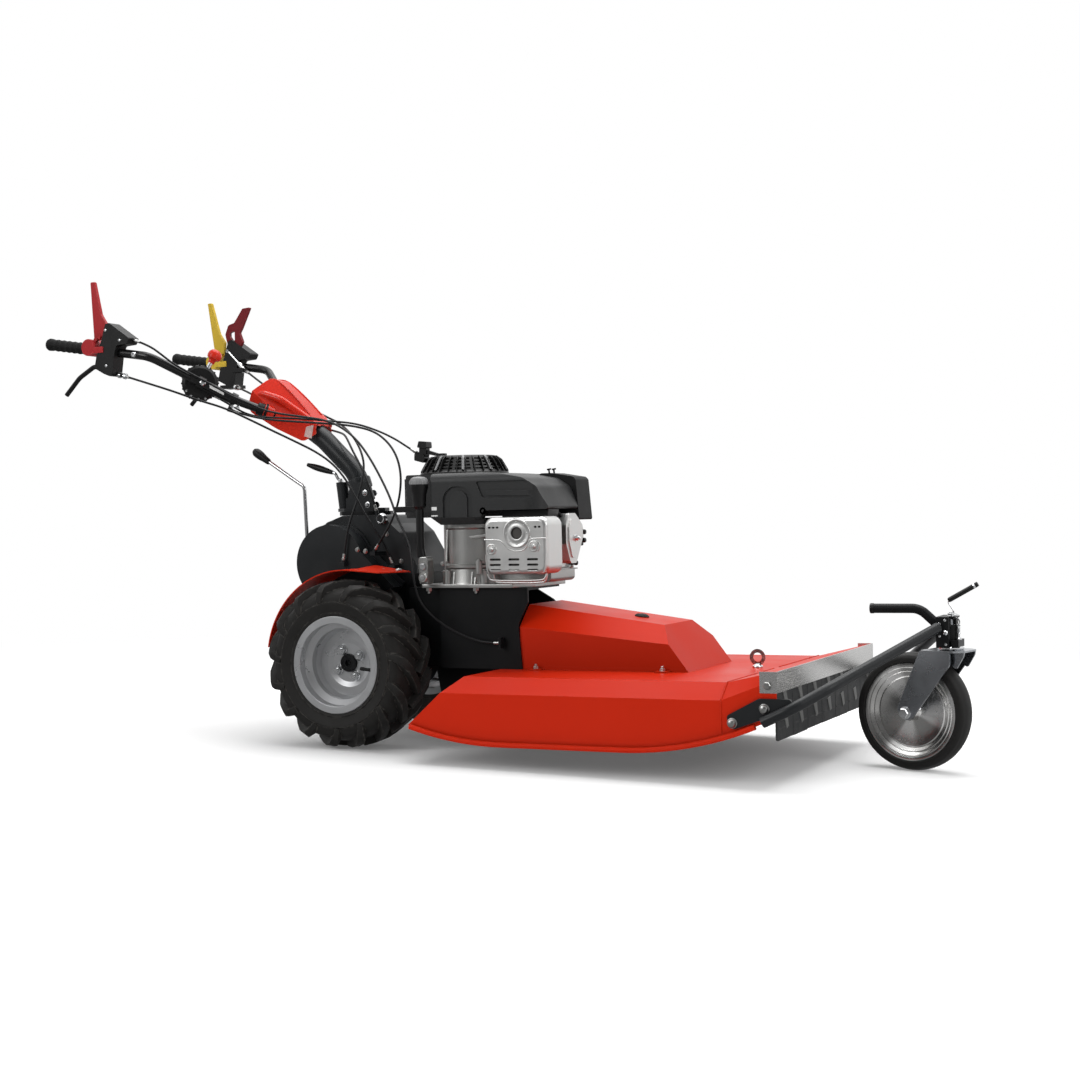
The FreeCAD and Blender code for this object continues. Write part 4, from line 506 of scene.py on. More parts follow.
# ---------------------------------------------------------------- axle, gearbox and drive covers
# Cast gearbox on a tube axle, all painted black. Over it stands the bowed sheet housing with
# the teardrop belt guard on its right side and the turret plate of the handlebar on top.
RIGHT = (0, -1, 0)
PULLEY_FACE = -112
HOUSING_SIDE = -66
LEFT_SIDE = 110
RIM_OF_DRUM = 97
satin_graphite = surface("satin_graphite", (0.015, 0.0165, 0.018), 0.36, tone=0.12, fine=1300, relief=0.1,
                         worn=(0.09, 0.09, 0.095), wear=0.4, width=0.0018, mirror=0.28)
chrome = surface("chrome_plate", (0.72, 0.72, 0.73), 0.14, metal=1.0, tone=0.05, fine=500, relief=0.03,
                 rough_change=0.04)
finish(black_coat, "rear_axle", "gearbox", "turret")
finish(satin_graphite, "drive_housing", "pulley_cover")
bm = bmesh.new()
turned(bm, [(8.5, 10), (8.5, 12.9), (11.2, 13.4), (13.6, 9.5), (14.2, 1.0), (13.1, 0.5)],
       (9, HOUSING_SIDE + 1, 546), RIGHT, 32)
made(bm, "housing_ring", "chassis", chrome)
bm = bmesh.new()
for x, y, z in ((-37, PULLEY_FACE, 471), (-14, PULLEY_FACE, 467), (60, HOUSING_SIDE, 440),
                (20, HOUSING_SIDE, 508)):
    bolt(bm, (x, y, z), RIGHT, 6)
for x, z in ((-150, 500), (70, 470), (-150, 430)):
    bolt(bm, (x, LEFT_SIDE, z), LEFT, 6)
for turn in range(200, 341, 35):
    at = (RIM_OF_DRUM * cos(radians(turn)), 0, AXLE_HEIGHT + RIM_OF_DRUM * sin(radians(turn)))
    for face in (-1, 1):
        bolt(bm, (at[0], face * 6, at[2]), (0, face, 0), 5)
made(bm, "drive_bolts", "chassis", zinc)

# ---------------------------------------------------------------- fenders
# Rolled red sheets over the tyres' inner halves, with a flat front corner each, held by
# coach bolts along their inner edges.
UP = (0, 0, 1)
NEUTRAL_GLOW = (0.10, 0.07, 0.065, 1)
red_coat = surface("red_powder_coat", (0.58, 0.021, 0.004), 0.38, tone=0.05, fine=1500, broad=6,
                   relief=0.05, worn=(0.72, 0.12, 0.07), wear=0.35, width=0.002, rough_change=0.05,
                   mirror=0.07)
# The light that the red sends on to the floor is kept neutral.
tree = red_coat.node_tree
coat_colour = tree.nodes["Principled BSDF"].inputs["Base Color"]
bounced = node(tree, "Mix", data_type="RGBA", Factor=node(tree, "LightPath").outputs["Is Diffuse Ray"],
               A=coat_colour.links[0].from_socket, B=NEUTRAL_GLOW)
feed(tree, coat_colour, bounced.outputs["Result"])
finish(red_coat, "fender_right", "fender_left")
bm = bmesh.new()
for side in (-1, 1):
    for x, y in ((62, 158), (106, 158)):
        turned(bm, [(0, 0), (8, 0), (7.4, 2.4), (4.5, 4.2), (0, 4.8)], (x, side * y, 421.5), UP, 20)
made(bm, "fender_bolts", "chassis", zinc)

# ---------------------------------------------------------------- deck
# One welded pan of 4 mm sheet, powder coated red: top, shoulders, skirts and a rising lip
# at the mouth. Round bars are welded along the skirts' lower edges as skids.
SKIRT = 377
SEAM_X = 998
DECK_TOP = 187
BEAD = 4.5
finish(red_coat, "deck_shell", "skid_rails")
bm = bmesh.new()
for side in (-1, 1):
    for start, end in (
        ((SEAM_X, side * SKIRT, 86), (SEAM_X, side * SKIRT, 152)),
        ((SEAM_X, side * (SKIRT - 1), 155), (SEAM_X, side * 333, DECK_TOP)),
        ((SEAM_X, side * 331, DECK_TOP + 0.2), (SEAM_X, side * 20, DECK_TOP + 0.2)),
    ):
        start = Vector(start)
        seam = Vector(end) - start
        ripples = max(4, round(seam.length / BEAD))
        step = seam.length / ripples
        beads = [(0, 0)]
        for k in range(ripples):
            thick = 2.1 + 0.5 * noise.noise(Vector((k * 0.9, side * 3, start.z)))
            beads += [(thick * 0.75, step * k + 0.3), (thick, step * (k + 0.45)),
                      (thick * 0.8, step * (k + 0.9))]
        beads.append((0, seam.length))
        turned(bm, beads, start, seam.normalized(), 10)
made(bm, "weld_beads", "chassis", red_coat, 60)
bm = bmesh.new()
for side in (-1, 1):
    for x, z in ((1024, 108), (1094, 139)):
        turned(bm, [(0, -0.2), (11, -0.2), (11, 1.2), (9.6, 2), (9.4, 5.2), (7.5, 8.2), (4, 9.4), (0, 9.8)],
               (x, side * (SKIRT + 6.3), z), (0, side, 0), 24)
    bolt(bm, (1101, side * (SKIRT + 2.3), 187), (0, side, 0), 9)
made(bm, "front_bolts", "chassis", zinc)

# ---------------------------------------------------------------- belt cover
# Folded red cover screwed to the deck by four tabs, with a rubber plug in its top over the
# spindle's grease nipple.
black_rubber = surface("plug_rubber", (0.008, 0.008, 0.008), 0.6, tone=0.2, relief=0.2, mirror=0.25)
finish(red_coat, "belt_cover")
finish(black_rubber, "cover_cap")
bm = bmesh.new()
for side in (-1, 1):
    for x in (467, 782):
        bolt(bm, (x, side * 157, DECK_TOP + 3.3), UP, 7, thread=5)
made(bm, "cover_nuts", "chassis", zinc)

# ---------------------------------------------------------------- front plate and flaps
# A brushed stainless strip with its ends bent round the skirts holds a row of heavy flaps
# of moulded rubber, each with slanting ribs, that hang between the mouth and the ground.
FLAP_COUNT = 7
FLAP_GAP = 2
FLAP_X = 1112.5
FLAP_THICK = 5
FLAP_TOP = 190
FLAP_LOW = 72
FLAP_CORNER = 4

# Brushed: fine lines that run one way over the metal.
brushed, into, out_of = shared_effect(
    "brushed", [("Along X", 60), ("Along Y", 4), ("Along Z", 900)], ["Lines"],
)
closeness = node(brushed, "CombineXYZ", *[into.outputs["Along " + axis] for axis in "XYZ"]).outputs[0]
squeezed = node(brushed, "VectorMath", node(brushed, "TexCoord").outputs["Object"], closeness,
                operation="MULTIPLY").outputs[0]
lines = node(brushed, "TexNoise", Vector=squeezed, Scale=1.0, Detail=4.0, Roughness=0.7)
feed(brushed, out_of.inputs["Lines"], lines.outputs["Fac"])


def brushed_metal(name, colour, rough, along, tone):
    """A bare metal finish whose gloss and shade vary in fine lines along one direction."""
    look = surface(name, colour, rough, metal=1.0, tone=0.05, fine=900, relief=0.03)
    tree = look.node_tree
    shader = tree.nodes["Principled BSDF"]
    strokes = node(tree, "Group", *along, node_tree=brushed).outputs["Lines"]
    feed(tree, shader.inputs["Base Color"], two_tones(tree, colour, tone, strokes))
    feed(tree, shader.inputs["Roughness"], uneven_gloss(tree, rough, 0.04, strokes))
    return look


def panel(bm, corners, depth, soft):
    """A flat piece from the corners of its face, as thick as depth, with softened edges."""
    face = bm.faces.new([bm.verts.new(corner) for corner in corners])
    grown = bmesh.ops.extrude_face_region(bm, geom=[face])["geom"]
    moved = [v for v in grown if isinstance(v, bmesh.types.BMVert)]
    bmesh.ops.translate(bm, verts=moved, vec=depth)
    sides = {e for v in moved + list(face.verts) for e in v.link_edges}
    bmesh.ops.bevel(bm, geom=list(sides), offset=soft, segments=2, profile=0.5, affect="EDGES", material=-1)


def slab(bm, low, high, soft):
    """A square-cornered piece between two opposite corners."""
    x0, y0, z0 = low
    x1, y1, z1 = high
    panel(bm, [(x0, y0, z0), (x1, y0, z0), (x1, y0, z1), (x0, y0, z1)], (0, y1 - y0, 0), soft)


def rod(bm, start, end, radius, steps=12):
    """A round rod between two points."""
    start, end = Vector(start), Vector(end)
    axes = facing((start + end) / 2, end - start)
    bmesh.ops.create_cone(bm, cap_ends=True, segments=steps, radius1=radius, radius2=radius,
                          depth=(end - start).length, matrix=axes)


stainless = brushed_metal("brushed_stainless", (0.74, 0.735, 0.725), 0.26, (60, 3, 1400), 0.04)
finish(stainless, "front_plate")
flap_rubber = surface("flap_rubber", (0.034, 0.035, 0.036), 0.55, tone=0.25, fine=700, broad=30,
                      relief=0.35, depth=0.0006, worn=(0.10, 0.10, 0.10), wear=0.5, width=0.002, mirror=0.2)
# The ribs are a paler rubber than the flaps.
pale_rib_rubber = surface("pale_flap_ribs", (0.13, 0.13, 0.128), 0.5, tone=0.3, fine=700, broad=60,
                        relief=0.3)
ribs = bmesh.new()
bm = bmesh.new()
mouth = 2 * (SKIRT - 4)
width = (mouth - (FLAP_COUNT + 1) * FLAP_GAP) / FLAP_COUNT
face = FLAP_X + FLAP_THICK - 0.5
for k in range(FLAP_COUNT):
    y = -mouth / 2 + FLAP_GAP + k * (width + FLAP_GAP)
    far = y + width
    low = FLAP_LOW + 1.5 * noise.noise(Vector((k * 1.7, 0, 0)))
    outline = [(y, low + 3), (y + FLAP_CORNER, low), (far - FLAP_CORNER, low), (far, low + 3),
               (far, FLAP_TOP), (y, FLAP_TOP)]
    panel(bm, [(FLAP_X, across, up) for across, up in outline], (FLAP_THICK, 0, 0), 0.8)
    for lift, tall, reach in ((20, 34, 0.56), (66, 40, 0.5)):
        foot = y + width * 0.26
        top = foot + width * reach
        z = low + lift
        slant = [(foot + 30, z), (foot + 44, z + 4), (top - 24, z + tall), (top - 46, z + tall - 4)]
        panel(ribs, [(face, across, up) for across, up in slant], (2.4, 0, 0), 1.0)
    for z in (96, 176):
        rod(bm, (face + 0.2, y + 6, z), (face + 0.2, far - 6, z), 1.3, steps=8)
flaps = made(bm, "ribbed_flaps", "chassis", flap_rubber)
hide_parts("rubber_flaps")
made(ribs, "flap_ribs", "chassis", pale_rib_rubber)

# ---------------------------------------------------------------- lifting eye, spindle and rotor
# A zinc-plated eye bolt on the deck, and under it the cast bearing housing with the
# forged cross bar and its swinging knives.
EYE_X = 953
EYE_FOOT = DECK_TOP + 0.3
SPINDLE_X = 655
SPINDLE_BOLT_CIRCLE = 66


def eye_ring(bm, centre, reach, thick, sides, steps):
    """An upright ring of round wire, seen open from the machine's side."""
    start = Matrix.Translation(centre + Vector((reach, 0, 0))) @ Matrix.Rotation(pi / 2, 4, "X")
    loop = bmesh.ops.create_circle(bm, segments=sides, radius=thick, matrix=start)["verts"]
    around = list({e for v in loop for e in v.link_edges})
    bmesh.ops.spin(bm, geom=loop + around, cent=centre, axis=LEFT, angle=2 * pi, steps=steps,
                   use_merge=True)


finish(black_coat, "spindle_housing")
forged = surface("forged_steel", (0.10, 0.098, 0.094), 0.45, metal=0.8, tone=0.3, fine=500, broad=25,
                 relief=0.25, worn=(0.5, 0.5, 0.5), wear=0.8, width=0.003)
finish(forged, "rotor")
bm = bmesh.new()
eye_ring(bm, Vector((EYE_X, 0, EYE_FOOT + 23.5)), 14.6, 4.3, 14, 40)
turned(bm, [(0, 0), (12, 0), (12, 3.4), (10.5, 5), (7, 6.5), (5.6, 9.4), (0, 9.4)],
       (EYE_X, 0, EYE_FOOT), UP, 28)
eye_bolt = made(bm, "eye_bolt", "chassis", bright_zinc, 50)
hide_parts("lifting_eye")
bm = bmesh.new()
for k in range(6):
    turn = radians(60 * k + 30)
    at = (SPINDLE_X + SPINDLE_BOLT_CIRCLE * cos(turn), SPINDLE_BOLT_CIRCLE * sin(turn), DECK_TOP)
    bolt(bm, at, UP, 8)
made(bm, "spindle_bolts", "chassis", zinc)

# ---------------------------------------------------------------- engine support
# A folded box of black plate carries the engine over the belt drive, and a plate hangs
# from it behind the deck. The engine's bolts come through its top flange.
CRANK_X = 210
ENGINE_BASE_Z = 378
PLATE = 4
DOWN = (0, 0, -1)
finish(black_coat, "engine_support")
bm = bmesh.new()
hanging = [(38, 214), (212, 214), (212, 96), (196, 80), (64, 80)]
panel(bm, [(x, 118, z) for x, z in hanging], (0, PLATE, 0), 1)
for y in (-60, 60):
    slab(bm, (225, y, 150), (368, y + PLATE, 190), 1)
made(bm, "hanging_plates", "chassis", black_coat)
bm = bmesh.new()
for x in (185, 312):
    hexagon(bm, (x, -152, ENGINE_BASE_Z), DOWN, 13, 8)
    turned(bm, [(0, 7), (4, 7), (4, 13), (0, 13.6)], (x, -152, ENGINE_BASE_Z), DOWN, 14)
made(bm, "engine_bolts", "chassis", zinc)

# ---------------------------------------------------------------- crankcase and cylinder
# Die-cast aluminium: a round barrel on a square foot, a finned cylinder ahead of it and the
# sump below, with bosses, webs and screws.
FOOT_TOP = ENGINE_BASE_Z + 8
HEAD_FINS = 9
FIN_PITCH = 13
AHEAD = (1, 0, 0)
cast = surface("cast_aluminium", (0.43, 0.43, 0.42), 0.40, metal=1.0, tone=0.22, fine=520, broad=16,
               relief=0.35, depth=0.0005, worn=(0.80, 0.80, 0.78), wear=0.6, width=0.002, rough_change=0.1)
bm = bmesh.new()
foot = [(172, -163), (415, -163), (448, -108), (448, 58), (415, 103), (345, 148), (172, 148)]
panel(bm, [(x, y, ENGINE_BASE_Z) for x, y in foot], (0, 0, 9), 1.5)
slab(bm, (207, -118, FOOT_TOP + 1), (340, 120, FOOT_TOP + 157), 8)
barrel = [(0, 0), (72, 0), (70, 5), (66, 36), (70, 38), (72, 40), (72, 45), (69, 47), (66.5, 49),
          (66.5, 130), (70, 134), (70, 142), (0, 142)]
turned(bm, barrel, (281, -93, FOOT_TOP), UP, 64)
for x, y in ((228, -140), (330, -143), (238, -152)):
    turned(bm, [(0, 0), (10, 0), (9.5, 32), (8, 34), (0, 34)], (x, y, FOOT_TOP), UP, 24)
turned(bm, [(0, 0), (8, 0), (8, 29), (6.8, 30.5), (0, 30.5)], (325, -158, 412), UP, 20)
for x, high in ((256, 30), (272, 22), (304, 30), (312, 18)):
    panel(bm, [(x, -150, FOOT_TOP), (x, -163, FOOT_TOP), (x, -158, FOOT_TOP + high)], (4, 0, 0), 0.8)
panel(bm, [(228, -130, 440), (228, -146, 440), (228, -138, 516), (228, -130, 516)], (5, 0, 0), 1)
panel(bm, [(300, -158, 500), (345, -150, 505), (345, -150, 498), (305, -158, 494)], (0, 14, 0), 1)
slab(bm, (339, -97, 408), (478, 39, 530), 4)
for k in range(HEAD_FINS):
    low = 414 + FIN_PITCH * k
    slab(bm, (350, -111, low), (484, 53, low + 3.4), 0.7)
sump = [(340, 388), (476, 388), (484, 394), (484, 420), (340, 420)]
panel(bm, [(x, -97, z) for x, z in sump], (0, 136, 0), 4)
block = made(bm, "engine_block", "chassis", cast, 35)
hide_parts("engine_crankcase")
bm = bmesh.new()
for place, out, size in (
    ((232, -165.5, 436), RIGHT, 5), ((325, -158, 442.5), UP, 5), ((484, -57, 441), AHEAD, 5),
    ((484, 18, 422), AHEAD, 5), ((182, -150, 387), UP, 6), ((400, -150, 387), UP, 6),
):
    bolt(bm, place, out, size)
made(bm, "block_screws", "chassis", zinc)

# ---------------------------------------------------------------- valve cover
# Pressed steel cover, zinc bright, on the end of the cylinder with one long bolt through
# its middle and the black breather stubs behind it.
pressed_steel = surface("pressed_steel", (0.68, 0.68, 0.67), 0.40, metal=1.0, tone=0.07, fine=900, broad=24,
                        relief=0.15, worn=(0.85, 0.85, 0.84), wear=0.4, rough_change=0.06)
black_plastic = surface("black_plastic", (0.007, 0.007, 0.0073), 0.38, tone=0.2, fine=800, relief=0.12,
                        worn=(0.04, 0.04, 0.04), wear=0.3, mirror=0.28)
finish(pressed_steel, "valve_cover")
bm = bmesh.new()
bolt(bm, (524.8, -43, 490), AHEAD, 8, thread=5)
made(bm, "cover_bolt", "chassis", bright_zinc)
bm = bmesh.new()
for y, z in ((56, 503), (55, 483), (4, 430)):
    turned(bm, [(0, -14), (5, -14), (5, 0), (6, 1), (6, 6), (4.6, 8), (0, 8)], (498, y, z), AHEAD, 20)
slab(bm, (470, 30, 470), (496, 66, 514), 3)
made(bm, "breather_stubs", "chassis", black_plastic)

# ---------------------------------------------------------------- blower housing and tank
# Matt black moulded plastic: the blower housing over the engine, the air cleaner ahead of it
# and the fuel tank round its back. Blank plates mark where the labels go.
SHROUD_SIDE = -190


def engine_plastic(name, colour, rough, mirror):
    """The finish of one of the engine's matt mouldings."""
    return surface(name, colour, rough, tone=0.1, fine=1200, broad=10, relief=0.22, depth=0.0002,
                   worn=(0.075, 0.075, 0.077), wear=0.35, width=0.003, mirror=mirror)


moulding = engine_plastic("engine_moulding", (0.024, 0.0245, 0.025), 0.42, 0.3)
# The air cleaner gets its own copy of the moulding. Its darker colour is painted shade, and its lower gloss
# keeps the bright room's reflection off its face.
shaded_cleaner_moulding = engine_plastic("shaded_cleaner_moulding", (0.014, 0.0142, 0.0146), 0.5, 0.12)
label_white = surface("label_white", (0.78, 0.78, 0.77), 0.5, tone=0.03, relief=0.02)
finish(moulding, "engine_shroud")
finish(shaded_cleaner_moulding, "air_cleaner")
finish(black_plastic, "fuel_tank", "starter_grip")
bm = bmesh.new()
for x in (425, 438):
    rod(bm, (x, 30, 644), (x - 1.5, 30, 656), 2.2, steps=10)
    rod(bm, (x - 6, 30, 656), (x + 4, 30, 657.5), 2.0, steps=10)
panel(bm, [(384, -150, 560), (506, -150, 560), (500, -150, 534), (384, -150, 528)], (0, 60, 0), 3)
made(bm, "cleaner_clips", "chassis", black_plastic)
bm = bmesh.new()
for x0, x1, z0, z1 in ((219, 233, 563, 571), (218, 235, 548.5, 551.5)):
    slab(bm, (x0, SHROUD_SIDE - 0.5, z0), (x1, SHROUD_SIDE, z1), 0.1)
made(bm, "blank_labels", "chassis", label_white)

# ---------------------------------------------------------------- recoil starter
# A drum of level louvres on the blower housing, moulded in black, with thin upright fins
# and grey arms that run down its sides from the slotted top.
FINS = 30
ARMS = 9
FIRST_ARM = -64
DRUM = Vector((CRANK_X - 2, 0, 650.5))
grey_plastic = surface("grey_plastic", (0.22, 0.222, 0.225), 0.38, tone=0.1, fine=900, relief=0.12)
finish(black_plastic, "recoil_starter")


def blades(count, first, outline, thick, soft):
    """Upright blades round the drum, each from its outline of (distance out, height)."""
    bm = bmesh.new()
    for k in range(count):
        turn = 2 * pi * k / count + radians(first)
        along = Vector((cos(turn), sin(turn), 0))
        across = Vector((-sin(turn), cos(turn), 0)) * thick
        foot = DRUM - across / 2
        panel(bm, [foot + along * r + Vector((0, 0, height)) for r, height in outline], across, soft)
    return bm


fin = [(101, 4), (108, 4), (108.4, 9), (104, 17), (93, 36), (84, 43), (78, 44.5), (78, 38), (96, 12)]
bm = blades(FINS, 0, fin, 1.8, 0.3)
made(bm, "starter_fins", "chassis", black_plastic)
arm = [(104, 9), (107, 10), (89, 39), (82, 44.8), (60, 45.4), (60, 44), (80, 42), (86, 36)]
bm = blades(ARMS, FIRST_ARM, arm, 6.4, 0.7)
made(bm, "starter_arms", "chassis", grey_plastic)

# ---------------------------------------------------------------- oil filler
# Black dipstick tube with a grey knurled cap, held at its foot by a cast elbow and a bright
# banjo bolt.
FILLER = (183, -184, 0)
CAP_SEAT = 625.5
CAP_RADIUS = 22.5
KNURLS = 24
BOSS_X = 195
bm = bmesh.new()
tube = [(0, 452), (9.5, 452), (9.5, 566), (15.5, 573), (16.5, 600), (21.5, 617), (21.5, 626), (0, 626)]
turned(bm, tube, FILLER, UP, 32)
rod(bm, (190, -184, 440), (184, -184, 470), 9.5, steps=24)
panel(bm, [(100, -163, 560), (172, -176, 560), (172, -176, 574), (100, -163, 574)], (0, 5, 0), 1)
filler = made(bm, "filler_tube", "chassis", black_plastic)
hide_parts("oil_filler")
bm = bmesh.new()
cap = [(0, 0), (CAP_RADIUS, 0), (23, 1.5), (23, 7.5), (19, 14.5), (12, 18), (0, 19)]
turned(bm, cap, (FILLER[0], FILLER[1], CAP_SEAT), UP, 40)
for k in range(KNURLS):
    turn = 2 * pi * k / KNURLS
    out = Vector((cos(turn), sin(turn), 0)) * (CAP_RADIUS - 0.1)
    at = Vector(FILLER) + out + Vector((0, 0, CAP_SEAT + 1))
    rod(bm, at, at + Vector((0, 0, 7)), 1.3, steps=6)
made(bm, "filler_cap", "chassis", grey_plastic)
bm = bmesh.new()
elbow = [(183, 389), (206, 389), (208, 446), (203, 454), (184, 454), (181, 446)]
panel(bm, [(x, -194, z) for x, z in elbow], (0, 30, 0), 3)
turned(bm, [(0, 0), (11.5, 0), (11.5, 8), (10, 10), (0, 10)], (BOSS_X, -190, 404), RIGHT, 28)
turned(bm, [(0, 0), (13, 0), (13, 3), (0, 3)], (BOSS_X, -192.5, 430), RIGHT, 28)
made(bm, "filler_foot", "chassis", cast)
bm = bmesh.new()
hexagon(bm, (BOSS_X, -195, 430), RIGHT, 15, 5)
hexagon(bm, (BOSS_X, -199, 404), RIGHT, 11, 3)
made(bm, "banjo_bolt", "chassis", bright_zinc)

# ---------------------------------------------------------------- muffler and its guard
# A dark steel exhaust box behind a bright pressed guard with rounded corners, rows of slots
# and a dished ring of rivets round the outlet. A bent wire stiffens its lower edge.
GUARD_X = (379, 541)
GUARD_Z = (412, 543)
GUARD_Y = -235
OUTLET = Vector((464, GUARD_Y, 506))
OUTLET_HOLE = 15
RIVET_CIRCLE = 26
SHEET = 1.6
muffler_steel = surface("muffler_steel", (0.11, 0.105, 0.10), 0.5, metal=0.9, tone=0.35, fine=400, broad=20,
                        relief=0.3, worn=(0.25, 0.2, 0.16), wear=0.5)
finish(muffler_steel, "muffler")


def rounded(x0, x1, z0, z1, r, y, steps=6):
    """Corners of an upright rectangle at one depth, with its corners rounded."""
    points = []
    for cx, cz, first in ((x1 - r, z1 - r, 0), (x0 + r, z1 - r, 90), (x0 + r, z0 + r, 180),
                          (x1 - r, z0 + r, 270)):
        for k in range(steps + 1):
            turn = radians(first + 90 * k / steps)
            points.append((cx + r * cos(turn), y, cz + r * sin(turn)))
    return points


def round_outlet(reach, count, k):
    """The k-th of some places on an upright circle round the outlet."""
    turn = 2 * pi * k / count
    return OUTLET + Vector((reach * cos(turn), 0, reach * sin(turn)))


def outline_of(bm, points):
    """The closed line of edges through the points."""
    corners = [bm.verts.new(point) for point in points]
    return [bm.edges.new((corners[n - 1], corners[n])) for n in range(len(corners))]


def wire(bm, points, radius, steps=3):
    """A bent wire or hose that follows its points."""
    drawn = bent_line("wire", points, 6)
    drawn.data.bevel_depth = radius
    drawn.data.bevel_resolution = steps
    bm.from_mesh(bpy.data.meshes.new_from_object(drawn))
    bpy.data.objects.remove(drawn)


bm = bmesh.new()
rings = []
for inset, depth, r in ((10, 0, 13), (9.4, 0, 14), (6.8, 0.7, 16), (4.4, 2.1, 18), (2.4, 4.3, 19),
                        (0.9, 7.2, 20), (0.2, 10.4, 20), (0, 14, 20), (0, 78, 20)):
    rings.append(outline_of(bm, rounded(GUARD_X[0] + inset, GUARD_X[1] - inset, GUARD_Z[0] + inset,
                                        GUARD_Z[1] - inset, r, GUARD_Y + depth)))
for near, far in zip(rings, rings[1:]):
    bmesh.ops.bridge_loops(bm, edges=near + far)
openings = [outline_of(bm, [round_outlet(OUTLET_HOLE, 32, k) for k in range(32)])]
for row in range(3):
    for column in range(3):
        x, z = 394 + 47.5 * column, 419.5 + 12.2 * row
        openings.append(outline_of(bm, rounded(x, x + 28, z, z + 5, 2.4, GUARD_Y, 3)))
for x in (391, 401, 411, 508, 518):
    openings.append(outline_of(bm, rounded(x, x + 7, 517.5, 522, 2, GUARD_Y, 3)))
face = rings[0] + [edge for ring in openings for edge in ring]
bmesh.ops.triangle_fill(bm, use_beauty=True, use_dissolve=False, edges=face, normal=RIGHT)
bmesh.ops.recalc_face_normals(bm, faces=bm.faces)
bmesh.ops.solidify(bm, geom=list(bm.faces), thickness=SHEET)
guard = made(bm, "pressed_guard", "chassis", pressed_steel, 24)
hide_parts("muffler_guard")
bm = bmesh.new()
dish = [(14, -1.5), (14, 0.8), (16, 1.5), (20, 0.9), (24, -0.1), (28, 0.9), (31, 2.2), (33.5, 1.8),
        (35, -1.5)]
turned(bm, dish, OUTLET, RIGHT, 56)
for k in range(8):
    turned(bm, [(0, 0.4), (2, 0.4), (1.7, 1.2), (0, 1.5)], round_outlet(RIVET_CIRCLE, 8, k), RIGHT, 10)
for x, z in ((399, 470), (507, 476)):
    turned(bm, [(13.5, -0.8), (12.5, 1.0), (11, 1.4), (9.5, 0.2), (6, 0.4), (5, 3), (3.4, 4.4), (0, 4.8)],
           (x, GUARD_Y, z), RIGHT, 32)
for crease in (
    ((381, 492), (400, 492), (419, 491), (430, 484), (440, 470), (464, 464), (484, 468), (492, 480),
     (496, 492), (510, 494), (538, 494)),
    ((384, 458), (384, 420), (390, 416)),
    ((536, 458), (536, 420), (530, 416)),
    ((495, 500), (502, 491), (518, 487), (524, 476), (516, 464)),
):
    wire(bm, [(x, GUARD_Y + 0.5, z) for x, z in crease], 1.6)
wire(bm, [(385, -228, 414), (388, -230, 402), (398, -230, 398), (460, -230, 397), (522, -230, 398),
          (532, -230, 402), (535, -228, 414)], 2.4)
stay = [(392, 412), (394, 396), (404, 392), (516, 392), (526, 396), (529, 412)]
wire(bm, [(x, -214, z) for x, z in stay], 2.4)
made(bm, "guard_pressings", "chassis", pressed_steel)
bm = bmesh.new()
eye_ring(bm, Vector((355, -190, 559)), 6, 2.4, 12, 28)
made(bm, "guard_eye", "chassis", bright_zinc, 50)
bm = bmesh.new()
lug_outline = [(330, 539), (346, 538), (362, 552), (352, 562), (338, 553)]
panel(bm, [(x, -188, z) for x, z in lug_outline], (0, 14, 0), 2)
turned(bm, [(14.2, 0), (14.2, 20), (12, 20), (12, 0)], OUTLET + Vector((0, 1, 0)), LEFT, 32)
wire(bm, [(470, -105, 560), (480, -92, 566), (494, -82, 556), (505, -74, 540), (500, -76, 520),
          (488, -84, 512), (478, -92, 520), (472, -100, 532)], 3.4)
made(bm, "hose_and_lug", "chassis", black_rubber)

# ---------------------------------------------------------------- castor arms, head and lock
# Graphite tubes welded to the deck's side plates meet at the castor's black head, which
# holds the lift loop and the spring bolt that keeps the castor straight.
PIVOT_X = 1392
CASTOR_AXLE_Z = 96
CASTOR_TURN = radians(-13)
GRIP_FOOT = (1390.5, 0, 341.5)
GRIP_WAY = (61.5, 0, 34.4)
COIL_TURNS = 8
COIL_AT = Vector((1411, -8, 287))
COIL_RADIUS = 3.6
COIL_LENGTH = 18
HEAD_SIDE = -39.6
finish(satin_graphite, "castor_arm_right", "castor_arm_left")
finish(black_coat, "castor_head")
bm = bmesh.new()
turned(bm, [(0, -3), (10.9, -3), (11.4, -2), (11.4, 4), (10.9, 4.6), (10.5, 4.6)],
       (1220, 0, 323), AHEAD, 32)
made(bm, "loop_cap", "chassis", black_plastic)
bm = bmesh.new()
turned(bm, [(0, -2), (4.2, -2), (5.2, 0), (5.5, 3), (5.5, 66), (5.2, 71), (0, 71.6)],
       GRIP_FOOT, GRIP_WAY, 24)
lock_grip = made(bm, "lock_grip", "chassis", black_plastic)
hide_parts("castor_lock")
bm = bmesh.new()
bail = [(1400, 308), (1400, 318), (1396, 324), (1388, 336), (1390, 341), (1394, 344)]
wire(bm, [(x, 0, z) for x, z in bail], 1.6)
turned(bm, [(5.4, 60), (5.75, 60.4), (5.75, 64), (5.4, 64.4)], GRIP_FOOT, GRIP_WAY, 24)
bolt(bm, (1395, -6, 307), UP, 8, thread=3)
turned(bm, [(5.5, 0), (10.5, 0), (10.5, 2.5), (6.5, 4.5), (5.5, 4.5)], (1400, 0, 307), UP, 28)
hook = [(1404, 303), (1409, 303), (1413, 299), (1414, 292), (1411, 287), (1407, 288)]
wire(bm, [(x, COIL_AT.y, z) for x, z in hook], 1.5)
coil = []
for k in range(6 * COIL_TURNS + 1):
    turn = radians(60 * k)
    down = COIL_LENGTH * k / (6 * COIL_TURNS)
    coil.append(COIL_AT + Vector((COIL_RADIUS * cos(turn), COIL_RADIUS * sin(turn), -down)))
wire(bm, coil, 0.9, 2)
turned(bm, [(0, 0), (7, 0), (7, 3), (5, 5), (3, 5), (3, 13), (2, 14), (0, 14)],
       (COIL_AT.x, COIL_AT.y, 256), UP, 20)
